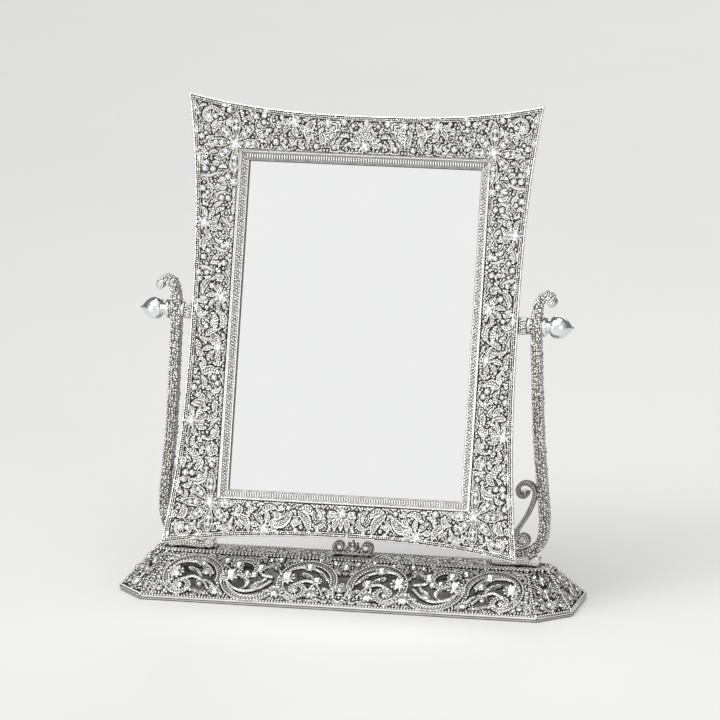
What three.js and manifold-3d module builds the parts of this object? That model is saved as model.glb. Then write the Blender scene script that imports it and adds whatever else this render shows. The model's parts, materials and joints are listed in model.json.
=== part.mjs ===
// Table-top tilting vanity mirror on a pierced stepped base.
// Millimetres, +Z up, +X to the viewer's right, the viewer looks along +Y.
// Origin: centre of the base's underside, on the table.

import * as THREE from 'three';
import { mergeVertices } from 'three/addons/utils/BufferGeometryUtils.js';
import Module from 'manifold-3d';

const wasm = await Module();
wasm.setup();

// ---------------------------------------------------------------- driving dimensions

const FIT = 0.3; // clearance between touching pieces
const STUD_RADIUS = 2;
const BORE_RADIUS = STUD_RADIUS + 0.35;

// Base: a low pierced casting, octagonal in plan, with sloping sides
const BASE_HALF_LENGTH = 178;
const BASE_HALF_DEPTH = 59.5;
const BASE_CORNER = [22.7, 28];
const BASE_LIP = [0.5, 3.5]; // z of the upright lip
const BASE_TOP = 30.5;
const TOP_HALF_LENGTH = 154;
const TOP_HALF_DEPTH = 14;
const TOP_CORNER = [15, 6];
const CAST_WALL = 2.5;
const FELT_THICKNESS = 1.2;
const BOTTOM_SHEET = [1.5, 2.7];
const PILLAR_X = [40, 100]; // tapped pillars under the top, each side

// Posts: flat sided ribbons standing in the X-Z plane
const POST_WIDTH = 7.2;
const POST_DEPTH = 11;
const POST_AT_PIVOT = 141.2;
const BRACKET_DEPTH = 8;
const FOOT_SCREW_X = 131;

// Tilt axis and mirror. Mirror space: x right, y up along the glass, z out of the glass.
const PIVOT_HEIGHT = 217.4;
const REST_TILT = THREE.MathUtils.degToRad(14.5);
const FRAME_TOP = 167.2;
const FRAME_BOTTOM = -181.7;
const FRAME_HALF_WIDTH = 139.2;
const EDGE_SAG = { top: 12.1, bottom: 11.6, side: 11.3 }; // how far each edge bows in
const EDGE_POWER = 2.5; // flatness of the bowed edges
const CORNER_RISE = 6.4; // the corners of the frame stand forward of its edges
const BAND_INNER = 4.4; // front of the filigree band beside the moulding
const BAND_OUTER = 6.9; // and at the middle of its outer edge
const BAND_THICKNESS = 2.2;
const SIGHT = { halfWidth: 91, top: 117.5, bottom: -136.5 };
const MOULDING_WIDTH = 8;
const GLASS_FRONT = -1.8;
const GLASS_THICKNESS = 3;
const GLASS_REBATE = 3; // how far the glass runs under the moulding
const GLASS_WALL = GLASS_REBATE + 0.5; // inner face of the moulding's rear wall
const TRAY_BACK = -8;
const BACK_PLATE = [TRAY_BACK - FIT - 1.2, TRAY_BACK - FIT];

// Spans along X of the pieces on the tilt axis, right-hand side
const STUD_SPAN = [113, 160];
const COLLAR_SPAN = [128.2, 134.2];
const COLLAR_WASHER_SPAN = [134.5, 137.2];
const KNOB_WASHER_SPAN = [145.2, 146.1];
const KNOB_START = 146.4;
const KNOB_TIP = 170.3;

// ---------------------------------------------------------------- materials

function metal(color, roughness) {
  return new THREE.MeshStandardMaterial({ color, roughness, metalness: 1 });
}

const antiqueSilver = metal(0xb9b8b4, 0.35);
const softSilver = metal(0xa9a8a5, 0.45);
const chrome = metal(0xe6e8ea, 0.08);
const steel = metal(0x9a9c9f, 0.35);
const mirrorSilver = metal(0xf4f6f8, 0.02);
const felt = new THREE.MeshStandardMaterial({ color: 0x3a3a3d, roughness: 0.95, metalness: 0 });
const board = new THREE.MeshStandardMaterial({ color: 0x8a8378, roughness: 0.9, metalness: 0 });

// ---------------------------------------------------------------- solids

function toSolid(geometry) {
  const bare = geometry.clone();
  bare.deleteAttribute('normal');
  bare.deleteAttribute('uv');
  const merged = mergeVertices(bare, 1e-4);
  return new wasm.Manifold(new wasm.Mesh({
    numProp: 3,
    vertProperties: new Float32Array(merged.attributes.position.array),
    triVerts: new Uint32Array(merged.index.array),
  }));
}

function toGeometry(solid) {
  const mesh = solid.getMesh();
  const geometry = new THREE.BufferGeometry();
  geometry.setAttribute('position', new THREE.BufferAttribute(mesh.vertProperties, 3));
  geometry.setIndex(new THREE.BufferAttribute(mesh.triVerts, 1));
  return geometry;
}

function join(...geometries) {
  return toGeometry(geometries.map(toSolid).reduce((whole, piece) => whole.add(piece)));
}

function cut(body, ...tools) {
  return toGeometry(tools.map(toSolid).reduce((rest, tool) => rest.subtract(tool), toSolid(body)));
}

// A box given by its [low, high] spans
function block([x0, x1], [y0, y1], [z0, z1]) {
  return new THREE.BoxGeometry(x1 - x0, y1 - y0, z1 - z0)
    .translate((x0 + x1) / 2, (y0 + y1) / 2, (z0 + z1) / 2);
}

// A turned piece: profile of [radius, height] points, its axis along +X or +Z
function turned(profile, axis, segments = 20) {
  const geometry = new THREE.LatheGeometry(profile.map(([r, h]) => new THREE.Vector2(r, h)), segments);
  return axis === 'x' ? geometry.rotateZ(-Math.PI / 2) : geometry.rotateX(Math.PI / 2);
}

function rod(radius, [start, end], axis, segments = 20) {
  return turned([[0, start], [radius, start], [radius, end], [0, end]], axis, segments);
}

// A closed outline in X-Z, given a thickness in Y and centred on the X-Z plane
function standing(shape, depth) {
  return new THREE.ExtrudeGeometry(shape, { depth, bevelEnabled: false, curveSegments: 8 })
    .rotateX(Math.PI / 2)
    .translate(0, depth / 2, 0);
}

// A solid lofted through convex rings of the same number of points, from low to high
function loft(rings) {
  const count = rings[0].length;
  const index = [];
  for (let ring = 0; ring + 1 < rings.length; ring += 1) {
    for (let i = 0; i < count; i += 1) {
      const next = (i + 1) % count;
      const low = ring * count;
      const high = low + count;
      index.push(low + i, low + next, high + next, low + i, high + next, high + i);
    }
  }
  const last = (rings.length - 1) * count;
  for (let i = 1; i + 1 < count; i += 1) {
    index.push(0, i + 1, i, last, last + i, last + i + 1);
  }
  const geometry = new THREE.BufferGeometry();
  geometry.setAttribute('position', new THREE.Float32BufferAttribute(rings.flat(2), 3));
  geometry.setIndex(index);
  return geometry;
}

// Octagon in plan, counter-clockwise from above
function octagon(halfLength, halfDepth, [cornerX, cornerY], z) {
  const right = [
    [halfLength, -halfDepth + cornerY, z],
    [halfLength, halfDepth - cornerY, z],
    [halfLength - cornerX, halfDepth, z],
  ];
  const left = [[-halfLength + cornerX, halfDepth, z]].concat(
    right.slice(0, 2).map(([x, y]) => [-x, -y, z]),
  );
  return [...right, ...left, [-halfLength + cornerX, -halfDepth, z], [halfLength - cornerX, -halfDepth, z]];
}

// ---------------------------------------------------------------- ribbons and spirals

// Outline of a band that follows a centre line; halfWidth is a function of 0..1 along it
function ribbon(points, halfWidth) {
  const sides = { left: [], right: [] };
  points.forEach((point, i) => {
    const ahead = points[Math.min(i + 1, points.length - 1)];
    const behind = points[Math.max(i - 1, 0)];
    const normal = new THREE.Vector2(behind.y - ahead.y, ahead.x - behind.x).normalize();
    const reach = halfWidth(i / (points.length - 1));
    sides.left.push(point.clone().addScaledVector(normal, reach));
    sides.right.push(point.clone().addScaledVector(normal, -reach));
  });
  return new THREE.Shape([...sides.left, ...sides.right.reverse()]);
}

function smooth(points, divisions) {
  return new THREE.SplineCurve(points.map(([x, z]) => new THREE.Vector2(x, z))).getPoints(divisions);
}

// Points of a spiral about a centre, from one radius and angle to another
function spiral([cx, cz], startRadius, endRadius, from, to, count) {
  return Array.from({ length: count + 1 }, (_, i) => {
    const part = i / count;
    const radius = startRadius + (endRadius - startRadius) * part;
    const angle = from + (to - from) * part;
    return new THREE.Vector2(cx + radius * Math.cos(angle), cz + radius * Math.sin(angle));
  });
}

function disc([cx, cz], radius, depth, segments = 14) {
  return new THREE.CylinderGeometry(radius, radius, depth, segments).translate(cx, 0, cz);
}

// ---------------------------------------------------------------- base

function baseShell() {
  const outer = loft([
    octagon(BASE_HALF_LENGTH, BASE_HALF_DEPTH, BASE_CORNER, BASE_LIP[0]),
    octagon(BASE_HALF_LENGTH, BASE_HALF_DEPTH, BASE_CORNER, BASE_LIP[1]),
    octagon(TOP_HALF_LENGTH, TOP_HALF_DEPTH, TOP_CORNER, BASE_TOP),
  ]);
  const slopeWall = 2 * CAST_WALL; // measured level, across the shallow slope
  const inner = loft([
    octagon(BASE_HALF_LENGTH - CAST_WALL, BASE_HALF_DEPTH - CAST_WALL, BASE_CORNER, BASE_LIP[0] - 1),
    octagon(BASE_HALF_LENGTH - CAST_WALL, BASE_HALF_DEPTH - CAST_WALL, BASE_CORNER, BASE_LIP[1] - 0.7),
    octagon(TOP_HALF_LENGTH - slopeWall + 3, TOP_HALF_DEPTH - 1, TOP_CORNER, BASE_TOP - CAST_WALL),
  ]);
  return cut(outer, inner);
}

// One scalloped opening in the sloping side, cut straight down
function windowCutter(x, y, halfLength, halfDepth) {
  const shape = new THREE.Shape();
  shape.absellipse(x, y, halfLength, halfDepth, 0, 2 * Math.PI);
  return new THREE.ExtrudeGeometry(shape, { depth: 2 * BASE_TOP, bevelEnabled: false, curveSegments: 8 });
}

function baseCasting() {
  const sideWindows = [27, 71, 115].flatMap((x) => [[x, 37], [x, -37], [-x, 37], [-x, -37]]);
  const cutters = sideWindows.map(([x, y]) => windowCutter(x, y, 17, 12.5));
  for (const end of [-1, 1]) {
    cutters.push(windowCutter(end * 165.5, 0, 4.5, 11));
    cutters.push(windowCutter(end * 152, 31, 8, 8));
    cutters.push(windowCutter(end * 152, -31, 8, 8));
  }
  const pillars = PILLAR_X.flatMap((x) => [-x, x])
    .map((x) => rod(4, [BOTTOM_SHEET[1] + FIT, BASE_TOP - 1], 'z', 16).translate(x, 0, 0));
  const screwHoles = PILLAR_X.flatMap((x) => [-x, x])
    .map((x) => rod(1.8, [-1, 14], 'z', 12).translate(x, 0, 0));
  const footHoles = [-FOOT_SCREW_X, 0, FOOT_SCREW_X]
    .map((x) => rod(1.8, [BASE_TOP - 6, BASE_TOP + 5], 'z', 12).translate(x, 0, 0));
  return cut(join(cut(baseShell(), ...cutters), ...pillars), ...screwHoles, ...footHoles);
}

function bottomSheet() {
  const inset = CAST_WALL + FIT;
  const length = BASE_HALF_LENGTH - inset;
  const depth = BASE_HALF_DEPTH - inset;
  const sheet = loft(BOTTOM_SHEET.map((z) => octagon(length, depth, BASE_CORNER, z)));
  const holes = PILLAR_X.flatMap((x) => [-x, x])
    .map((x) => rod(1.8, [0, 4], 'z', 12).translate(x, 0, 0));
  return cut(sheet, ...holes);
}

function feltSheet() {
  const inset = CAST_WALL + 1;
  const length = BASE_HALF_LENGTH - inset;
  const depth = BASE_HALF_DEPTH - inset;
  const sheet = loft([0, FELT_THICKNESS].map((z) => octagon(length, depth, BASE_CORNER, z)));
  const reliefs = PILLAR_X.flatMap((x) => [-x, x])
    .map((x) => rod(3.4, [-1, 4], 'z', 12).translate(x, 0, 0));
  return cut(sheet, ...reliefs);
}

// Pan-head screw with its head below the seat height and its shank rising to the tip height
function risingScrew(seat, tip) {
  const head = 1.1;
  return turned([[0, seat - head], [2.2, seat - head], [2.7, seat - 0.4], [2.7, seat],
    [1.4, seat], [1.4, tip - 1], [0.8, tip], [0, tip]], 'z', 12);
}

// ---------------------------------------------------------------- posts, brackets and crest (right-hand side)

function postGeometry() {
  const centreLine = smooth([
    [153.2, 236.2], [152.6, 239.6], [148.6, 241.3], [144.4, 238.4], [142.2, 231.5], [POST_AT_PIVOT, 217.4],
    [142.1, 188], [144.7, 130], [147.6, 97], [149.9, 72], [149.6, 57], [146.4, 47.3], [139.5, 41.6],
    [130, 38.4], [121, 36.6], [114, 35.2],
  ], 46);
  const halfWidth = (part) => THREE.MathUtils.lerp(2.5, POST_WIDTH / 2, Math.min(part / 0.12, 1));
  const stem = standing(ribbon(centreLine, halfWidth), POST_DEPTH);
  const curl = disc([153.4, 236.8], 3.4, POST_DEPTH + 1);
  const heel = disc([143.8, BASE_TOP + FIT + 3.9], 3.9, POST_DEPTH);
  const toe = disc([113.5, BASE_TOP + FIT + 4], 4, POST_DEPTH);
  const pad = block([116, 141], [-POST_DEPTH / 2, POST_DEPTH / 2], [BASE_TOP + FIT, 38]);
  const pivotBore = rod(BORE_RADIUS, [120, 165], 'x').translate(0, 0, PIVOT_HEIGHT);
  const footBore = rod(1.75, [BASE_TOP - 1, BASE_TOP + 9], 'z', 12).translate(FOOT_SCREW_X, 0, 0);
  return cut(join(stem, curl, heel, toe, pad), pivotBore, footBore);
}

// S-scroll that braces the post: a spiral above, a diagonal band and a spiral below
function bracketGeometry() {
  const upper = spiral([134.2, 88.6], 2, 8.5, 2.05 * Math.PI, -0.3, 20);
  const diagonal = smooth([[141.4, 82], [137.6, 72.5], [132, 63], [127.8, 56.5]], 8);
  const lower = spiral([133, 51], 6.1, 2.2, 1.12 * Math.PI, 2.95 * Math.PI, 16);
  const halfWidth = (part) => 1.6 + 0.3 * Math.sin(Math.PI * part);
  const band = standing(ribbon([...upper, ...diagonal, ...lower], halfWidth), BRACKET_DEPTH);
  return join(band, disc([134.2, 88.6], 2.4, BRACKET_DEPTH), disc([132.8, 51.2], 2.6, BRACKET_DEPTH));
}

// Ornament in the middle of the base top: a bud between two C-scrolls
function crestGeometry() {
  const foot = BASE_TOP + FIT;
  const depth = 6;
  const parts = [block([-15.5, 15.5], [-depth / 2, depth / 2], [foot, foot + 2.4])];
  for (const side of [-1, 1]) {
    const scroll = spiral([10.6, foot + 6.6], 5, 2, -0.75 * Math.PI, 1.4 * Math.PI, 12)
      .map((point) => new THREE.Vector2(side * point.x, point.y));
    parts.push(standing(ribbon(scroll, () => 1.2), depth));
    parts.push(disc([side * 10.4, foot + 6.4], 2.2, depth));
  }
  const bud = new THREE.Shape();
  bud.absellipse(0, foot + 6, 4.2, 5.8, 0, 2 * Math.PI);
  parts.push(standing(bud, depth));
  const screwHole = rod(1.75, [foot - 1, foot + 8], 'z', 12);
  return cut(join(...parts), screwHole);
}

// ---------------------------------------------------------------- mirror

// 0 at the ends of an edge and 1 along its middle
function bow(part) {
  return 1 - Math.abs(2 * part - 1) ** EDGE_POWER;
}

function frameOutline(stepsPerSide = 14) {
  const steps = Array.from({ length: stepsPerSide }, (_, i) => i / stepsPerSide);
  const across = (part) => FRAME_HALF_WIDTH * (2 * part - 1);
  const up = (part) => THREE.MathUtils.lerp(FRAME_BOTTOM, FRAME_TOP, part);
  const bottom = steps.map((q) => [across(q), FRAME_BOTTOM + EDGE_SAG.bottom * bow(q)]);
  const right = steps.map((q) => [FRAME_HALF_WIDTH - EDGE_SAG.side * bow(q), up(q)]);
  const top = steps.map((q) => [-across(q), FRAME_TOP - EDGE_SAG.top * bow(q)]);
  const left = steps.map((q) => [EDGE_SAG.side * bow(q) - FRAME_HALF_WIDTH, up(1 - q)]);
  return [...bottom, ...right, ...top, ...left].map(([x, y]) => new THREE.Vector2(x, y));
}

// Front surface of the dished filigree band
function bandHeight(x, y) {
  const tray = trayEdge(0);
  const outside = Math.max(Math.abs(x) - tray.halfWidth, y - tray.top, tray.bottom - y, 0);
  const rise = (BAND_OUTER - BAND_INNER) * Math.min(outside / 29, 1);
  const middle = (FRAME_TOP + FRAME_BOTTOM) / 2;
  const corner = (Math.abs(x) / FRAME_HALF_WIDTH) * (Math.abs(y - middle) / (FRAME_TOP - middle));
  return BAND_INNER + rise + CORNER_RISE * corner ** EDGE_POWER;
}

// The moulding's outer rectangle, moved out by a margin
function trayEdge(margin) {
  const reach = MOULDING_WIDTH + margin;
  return { halfWidth: SIGHT.halfWidth + reach, top: SIGHT.top + reach, bottom: SIGHT.bottom - reach };
}

function rectanglePoints({ halfWidth, top, bottom }, step) {
  const corners = [[-halfWidth, bottom], [halfWidth, bottom], [halfWidth, top], [-halfWidth, top]]
    .map(([x, y]) => new THREE.Vector2(x, y));
  return corners.flatMap((corner, i) => {
    const next = corners[(i + 1) % 4];
    const count = Math.round(corner.distanceTo(next) / step);
    return Array.from({ length: count }, (_, k) => corner.clone().lerp(next, k / count));
  });
}

// Almond piercing with its long axis at the given angle
function almond([x, y], length, width, angle) {
  const path = new THREE.Path();
  const tip = new THREE.Vector2(length / 2, 0).rotateAround(new THREE.Vector2(), angle);
  const bulge = new THREE.Vector2(0, width).rotateAround(new THREE.Vector2(), angle);
  path.moveTo(x - tip.x, y - tip.y);
  path.quadraticCurveTo(x + bulge.x, y + bulge.y, x + tip.x, y + tip.y);
  path.quadraticCurveTo(x - bulge.x, y - bulge.y, x - tip.x, y - tip.y);
  return path;
}

// Piercings between the leaves, in pairs that lean in turn one way and the other
function piercings() {
  const holes = [];
  const pitch = 19;
  const sides = [
    { from: [-95, 141], along: [1, 0], count: 11 },
    { from: [-95, -158], along: [1, 0], count: 11 },
    { from: [-115, -119], along: [0, 1], count: 13 },
    { from: [115, -119], along: [0, 1], count: 13 },
  ];
  for (const { from, along, count } of sides) {
    for (let i = 0; i < count; i += 1) {
      const centre = [from[0] + along[0] * pitch * i, from[1] + along[1] * pitch * i];
      const lean = (i % 2 === 0 ? 1 : -1) * 0.9;
      const acrossBand = along[0] === 1 ? Math.PI / 2 : 0;
      holes.push(almond(centre, 12, 5, acrossBand + lean));
    }
  }
  return holes;
}

function frameGeometry() {
  const shape = new THREE.Shape(frameOutline());
  shape.holes.push(new THREE.Path(rectanglePoints(trayEdge(FIT), 26)));
  shape.holes.push(...piercings());
  const settings = { depth: BAND_THICKNESS, bevelEnabled: false, curveSegments: 3 };
  const geometry = new THREE.ExtrudeGeometry(shape, settings);
  const position = geometry.attributes.position;
  for (let i = 0; i < position.count; i += 1) {
    const front = bandHeight(position.getX(i), position.getY(i));
    position.setZ(i, front - BAND_THICKNESS + position.getZ(i));
  }
  return geometry;
}

// A mitred rectangular ring: profile of [distance out from the sight edge, height] points
function mitredRing(profile) {
  const count = profile.length;
  const corners = [[-1, -1], [1, -1], [1, 1], [-1, 1]];
  const vertices = corners.flatMap(([sideX, sideY]) => profile.map(([out, height]) => [
    sideX * (SIGHT.halfWidth + out),
    sideY > 0 ? SIGHT.top + out : SIGHT.bottom - out,
    height,
  ]));
  const index = [];
  for (let corner = 0; corner < 4; corner += 1) {
    const here = corner * count;
    const there = ((corner + 1) % 4) * count;
    for (let i = 0; i < count; i += 1) {
      const next = (i + 1) % count;
      index.push(here + i, here + next, there + next, here + i, there + next, there + i);
    }
  }
  const geometry = new THREE.BufferGeometry();
  geometry.setAttribute('position', new THREE.Float32BufferAttribute(vertices.flat(), 3));
  geometry.setIndex(index);
  return geometry;
}

function mouldingGeometry() {
  const ring = mitredRing([
    [0, GLASS_FRONT + FIT], [0, GLASS_FRONT + 1.4], [2.8, 2.6], [5.2, 4.6], [7.2, 5.2], [MOULDING_WIDTH, 4.8],
    [MOULDING_WIDTH, TRAY_BACK], [GLASS_WALL, TRAY_BACK], [GLASS_WALL, GLASS_FRONT + FIT],
  ]);
  const holes = backScrewPlaces()
    .map(([x, y]) => rod(1.2, [TRAY_BACK - 1, TRAY_BACK + 6], 'z', 8).translate(x, y, 0));
  return cut(ring, ...holes);
}

// A plate the size of the sight opening moved out by a margin
function plate(margin, [back, front]) {
  return block(
    [-SIGHT.halfWidth - margin, SIGHT.halfWidth + margin],
    [SIGHT.bottom - margin, SIGHT.top + margin],
    [back, front],
  );
}

function backScrewPlaces() {
  const reach = (GLASS_WALL + MOULDING_WIDTH) / 2; // along the middle of the moulding's rear wall
  const x = SIGHT.halfWidth + reach;
  const top = SIGHT.top + reach;
  const bottom = SIGHT.bottom - reach;
  const middle = (top + bottom) / 2;
  return [[-x, top], [x, top], [-x, middle], [x, middle], [-x, bottom], [x, bottom], [0, top], [0, bottom]];
}

function backPlateGeometry() {
  const holes = backScrewPlaces()
    .map(([x, y]) => rod(1.3, [BACK_PLATE[0] - 1, BACK_PLATE[1] + 1], 'z', 12).translate(x, y, 0));
  return cut(plate(MOULDING_WIDTH, BACK_PLATE), ...holes);
}

function backScrewGeometry() {
  const seat = BACK_PLATE[0] - 0.1;
  return turned([[0, seat - 1], [1.4, seat - 1], [1.9, seat - 0.4], [1.9, seat],
    [0.9, seat], [0.9, TRAY_BACK + 4.4], [0, TRAY_BACK + 5]], 'z', 12);
}

// Lug behind the filigree that carries the pivot stud (right-hand side)
function lugGeometry() {
  const inner = trayEdge(FIT).halfWidth;
  const outer = FRAME_HALF_WIDTH - EDGE_SAG.side - FIT;
  const clear = BAND_THICKNESS + FIT + 0.1;
  const outline = new THREE.Shape([
    new THREE.Vector2(inner, -6.5),
    new THREE.Vector2(outer, -6.5),
    new THREE.Vector2(outer, bandHeight(outer, 0) - clear),
    new THREE.Vector2(inner, bandHeight(inner, 0) - clear),
  ]);
  const bar = standing(outline, 14);
  return cut(bar, rod(BORE_RADIUS, [STUD_SPAN[0] - FIT, outer + 5], 'x'));
}

// Flat or beaded ring on the tilt axis
function axisRing(outerRadius, [start, end], crown = 0) {
  const middle = (start + end) / 2;
  return turned([[BORE_RADIUS, start], [outerRadius - crown, start], [outerRadius, middle],
    [outerRadius - crown, end], [BORE_RADIUS, end], [BORE_RADIUS, start]], 'x');
}

// Acorn finial: flange, neck, round body and pointed tip, with a blind bore
function knobGeometry() {
  const s = KNOB_START;
  const body = turned([[0, s], [7, s], [7.7, s + 1], [7.7, s + 2.2], [5.4, s + 3.6], [4.9, s + 5],
    [7, s + 6.4], [8.5, s + 8.6], [8.8, s + 11], [8.1, s + 14], [6.3, s + 17], [4, s + 19.6],
    [2.2, s + 21.6], [1.1, KNOB_TIP - 0.9], [0, KNOB_TIP]], 'x', 20);
  return cut(body, rod(BORE_RADIUS, [s - 1, STUD_SPAN[1] + 1], 'x'));
}

// ---------------------------------------------------------------- assembly

const object = new THREE.Group();
const mirror = new THREE.Group();
mirror.position.z = PIVOT_HEIGHT;
mirror.rotation.x = Math.PI / 2 - REST_TILT;
const tiltAxis = new THREE.Group();
tiltAxis.position.z = PIVOT_HEIGHT;
object.add(mirror, tiltAxis);

function add(group, name, geometry, material) {
  const mesh = new THREE.Mesh(geometry, material);
  mesh.name = name;
  group.add(mesh);
  return mesh;
}

// The same piece on both sides, the left one given half a turn about the group's Z axis
function addPair(group, name, make, material) {
  add(group, `${name}_right`, make(), material);
  add(group, `${name}_left`, make(), material).rotation.z = Math.PI;
}

add(object, 'base_casting', baseCasting(), antiqueSilver);
add(object, 'base_bottom_sheet', bottomSheet(), steel);
add(object, 'base_felt', feltSheet(), felt);
PILLAR_X.flatMap((x) => [-x, x]).forEach((x, i) => {
  add(object, `base_screw_${i + 1}`, risingScrew(BOTTOM_SHEET[0] - 0.1, 13), steel).position.x = x;
});
addPair(object, 'post', postGeometry, antiqueSilver);
for (const [name, side] of [['right', 1], ['left', -1]]) {
  const screw = risingScrew(BASE_TOP - CAST_WALL - 0.1, BASE_TOP + 7.5);
  add(object, `post_screw_${name}`, screw, steel).position.x = side * FOOT_SCREW_X;
}
addPair(object, 'scroll_bracket', bracketGeometry, softSilver);
add(object, 'crest', crestGeometry(), antiqueSilver);
add(object, 'crest_screw', risingScrew(BASE_TOP - CAST_WALL - 0.1, BASE_TOP + 7.5), steel);
addPair(tiltAxis, 'knob_washer', () => axisRing(6.6, KNOB_WASHER_SPAN), steel);

add(mirror, 'mirror_frame', frameGeometry(), antiqueSilver);
add(mirror, 'glass_moulding', mouldingGeometry(), antiqueSilver);
add(mirror, 'mirror_glass', plate(GLASS_REBATE, [GLASS_FRONT - GLASS_THICKNESS, GLASS_FRONT]), mirrorSilver);
add(mirror, 'backing_board', plate(GLASS_REBATE, [TRAY_BACK, GLASS_FRONT - GLASS_THICKNESS - FIT]), board);
add(mirror, 'back_plate', backPlateGeometry(), softSilver);
backScrewPlaces().forEach(([x, y], i) => {
  add(mirror, `back_screw_${i + 1}`, backScrewGeometry(), steel).position.set(x, y, 0);
});
addPair(mirror, 'pivot_lug', lugGeometry, steel);
addPair(tiltAxis, 'pivot_stud', () => rod(STUD_RADIUS, STUD_SPAN, 'x', 20), steel);
addPair(tiltAxis, 'collar', () => axisRing(7.4, COLLAR_SPAN, 1.2), antiqueSilver);
addPair(tiltAxis, 'collar_washer', () => axisRing(6.4, COLLAR_WASHER_SPAN), steel);
addPair(tiltAxis, 'knob', knobGeometry, chrome);

export default object;
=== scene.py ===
"""Tilting table mirror in oxidised silver and crystal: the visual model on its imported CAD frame.

Lengths are millimetres in the CAD frame (+X to the viewer's right, +Z up, the viewer looks
along +Y) until mesh_object() writes them to Blender in metres.
"""
import json
import math

import bpy
import numpy as np
from mathutils import Matrix, Vector


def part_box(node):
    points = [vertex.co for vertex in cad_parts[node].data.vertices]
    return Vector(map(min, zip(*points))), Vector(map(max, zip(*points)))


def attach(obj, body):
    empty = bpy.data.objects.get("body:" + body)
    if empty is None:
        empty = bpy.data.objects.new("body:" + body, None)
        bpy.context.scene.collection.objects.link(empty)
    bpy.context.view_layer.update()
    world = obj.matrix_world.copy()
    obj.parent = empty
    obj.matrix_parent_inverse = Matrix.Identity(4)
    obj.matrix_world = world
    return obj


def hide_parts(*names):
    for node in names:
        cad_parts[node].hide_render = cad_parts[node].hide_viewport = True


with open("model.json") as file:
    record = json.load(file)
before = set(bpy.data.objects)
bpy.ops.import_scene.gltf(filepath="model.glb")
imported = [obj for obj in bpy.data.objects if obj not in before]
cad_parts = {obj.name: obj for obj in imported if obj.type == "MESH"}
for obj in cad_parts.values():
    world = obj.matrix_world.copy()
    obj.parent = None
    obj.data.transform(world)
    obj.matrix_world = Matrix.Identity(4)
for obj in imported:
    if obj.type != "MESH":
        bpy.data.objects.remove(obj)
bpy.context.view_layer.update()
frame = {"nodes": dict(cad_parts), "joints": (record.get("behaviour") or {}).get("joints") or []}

MM = 0.001
TAU = 2 * math.pi
RNG = np.random.default_rng(7)

# ---------------------------------------------------------------- places taken from the frame


def cad_box(node):
    low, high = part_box(node)
    return np.array(low) / MM, np.array(high) / MM


def glass_normal():
    """Outward normal of the mirror's front face."""
    faces = frame["nodes"]["mirror_glass"].data.polygons
    front = [f for f in faces if f.normal.y < -0.5]
    return np.array(max(front, key=lambda f: f.area).normal)


TILT = next(j for j in frame["joints"] if j["name"] == "mirror_tilt")
PIVOT = np.array(TILT["pos_m"], float) / MM
OUT = glass_normal()
RIGHT = np.array([1.0, 0.0, 0.0])
UP = np.cross(OUT, RIGHT)

# ---------------------------------------------------------------- mesh building


class Mesh:
    """Gathers closed solids into one piece; each vertex keeps its oxide and painted light."""

    def __init__(self):
        self.verts, self.faces, self.oxide, self.count = [], [], [], 0

    def add(self, verts, faces, oxide=0.0):
        verts = np.asarray(verts, float).reshape(-1, 3)
        self.verts.append(verts)
        self.oxide.append(np.broadcast_to(np.asarray(oxide, float), len(verts)))
        self.faces += [np.asarray(f, int) + self.count for f in faces]
        self.count += len(verts)
        return self


def mesh_object(name, mesh, material, body, nodes=(), sharp=75.0):
    """Writes a gathered mesh as a piece that rides on a body and stands for CAD nodes.
    Edges steeper than sharp degrees are sharp; with 0, all of them are."""
    sizes = np.concatenate([np.full(len(f), f.shape[1]) for f in mesh.faces])
    loops = np.concatenate([f.ravel() for f in mesh.faces])
    data = bpy.data.meshes.new(name)
    data.vertices.add(mesh.count)
    data.vertices.foreach_set("co", (np.concatenate(mesh.verts) * MM).ravel())
    data.loops.add(len(loops))
    data.loops.foreach_set("vertex_index", loops)
    data.polygons.add(len(sizes))
    data.polygons.foreach_set("loop_start", np.concatenate([[0], np.cumsum(sizes)[:-1]]))
    data.update(calc_edges=True)
    data.validate()
    # Per-vertex tone: oxide, plus painted shade and painted reflections on some pieces.
    tone = data.attributes.new("oxide", "FLOAT", "POINT")
    tone.data.foreach_set("value", np.concatenate(mesh.oxide))
    data.polygons.foreach_set("use_smooth", np.full(len(data.polygons), sharp > 0))
    if sharp > 0:
        data.set_sharp_from_angle(angle=math.radians(sharp))
    data.materials.append(material)
    piece = bpy.data.objects.new(name, data)
    bpy.context.scene.collection.objects.link(piece)
    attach(piece, body)
    if nodes:
        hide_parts(*nodes)


def tube_faces(rows, columns):
    """Quads of a vertex grid whose last column is joined to its first."""
    i, j = np.meshgrid(np.arange(rows - 1), np.arange(columns), indexing="ij")
    k = (j + 1) % columns
    quads = [i * columns + j, i * columns + k, (i + 1) * columns + k, (i + 1) * columns + j]
    return np.stack(quads, -1).reshape(-1, 4)


def ring_faces(rows, columns):
    """Quads of a vertex grid that is joined to itself both ways."""
    return tube_faces(rows + 1, columns) % (rows * columns)


def box_faces(flipped):
    """Faces of eight corners, four below and four above."""
    faces = np.array([[0, 1, 2, 3], [7, 6, 5, 4], [0, 4, 5, 1], [1, 5, 6, 2], [2, 6, 7, 3],
                      [3, 7, 4, 0]])
    return [faces[:, ::-1]] if flipped else [faces]


def closed_loft(rings):
    """A solid through rings (rows, columns, 3) of points, capped by a fan at each end."""
    rows, columns = rings.shape[:2]
    verts = np.concatenate([rings.reshape(-1, 3), rings[0].mean(0)[None], rings[-1].mean(0)[None]])
    j = np.arange(columns)
    k = (j + 1) % columns
    low, last = rows * columns, (rows - 1) * columns
    caps = np.concatenate([
        np.stack([np.full(columns, low), k, j], -1),
        np.stack([np.full(columns, low + 1), last + j, last + k], -1),
    ])
    return verts, [tube_faces(rows, columns), caps]


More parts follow.
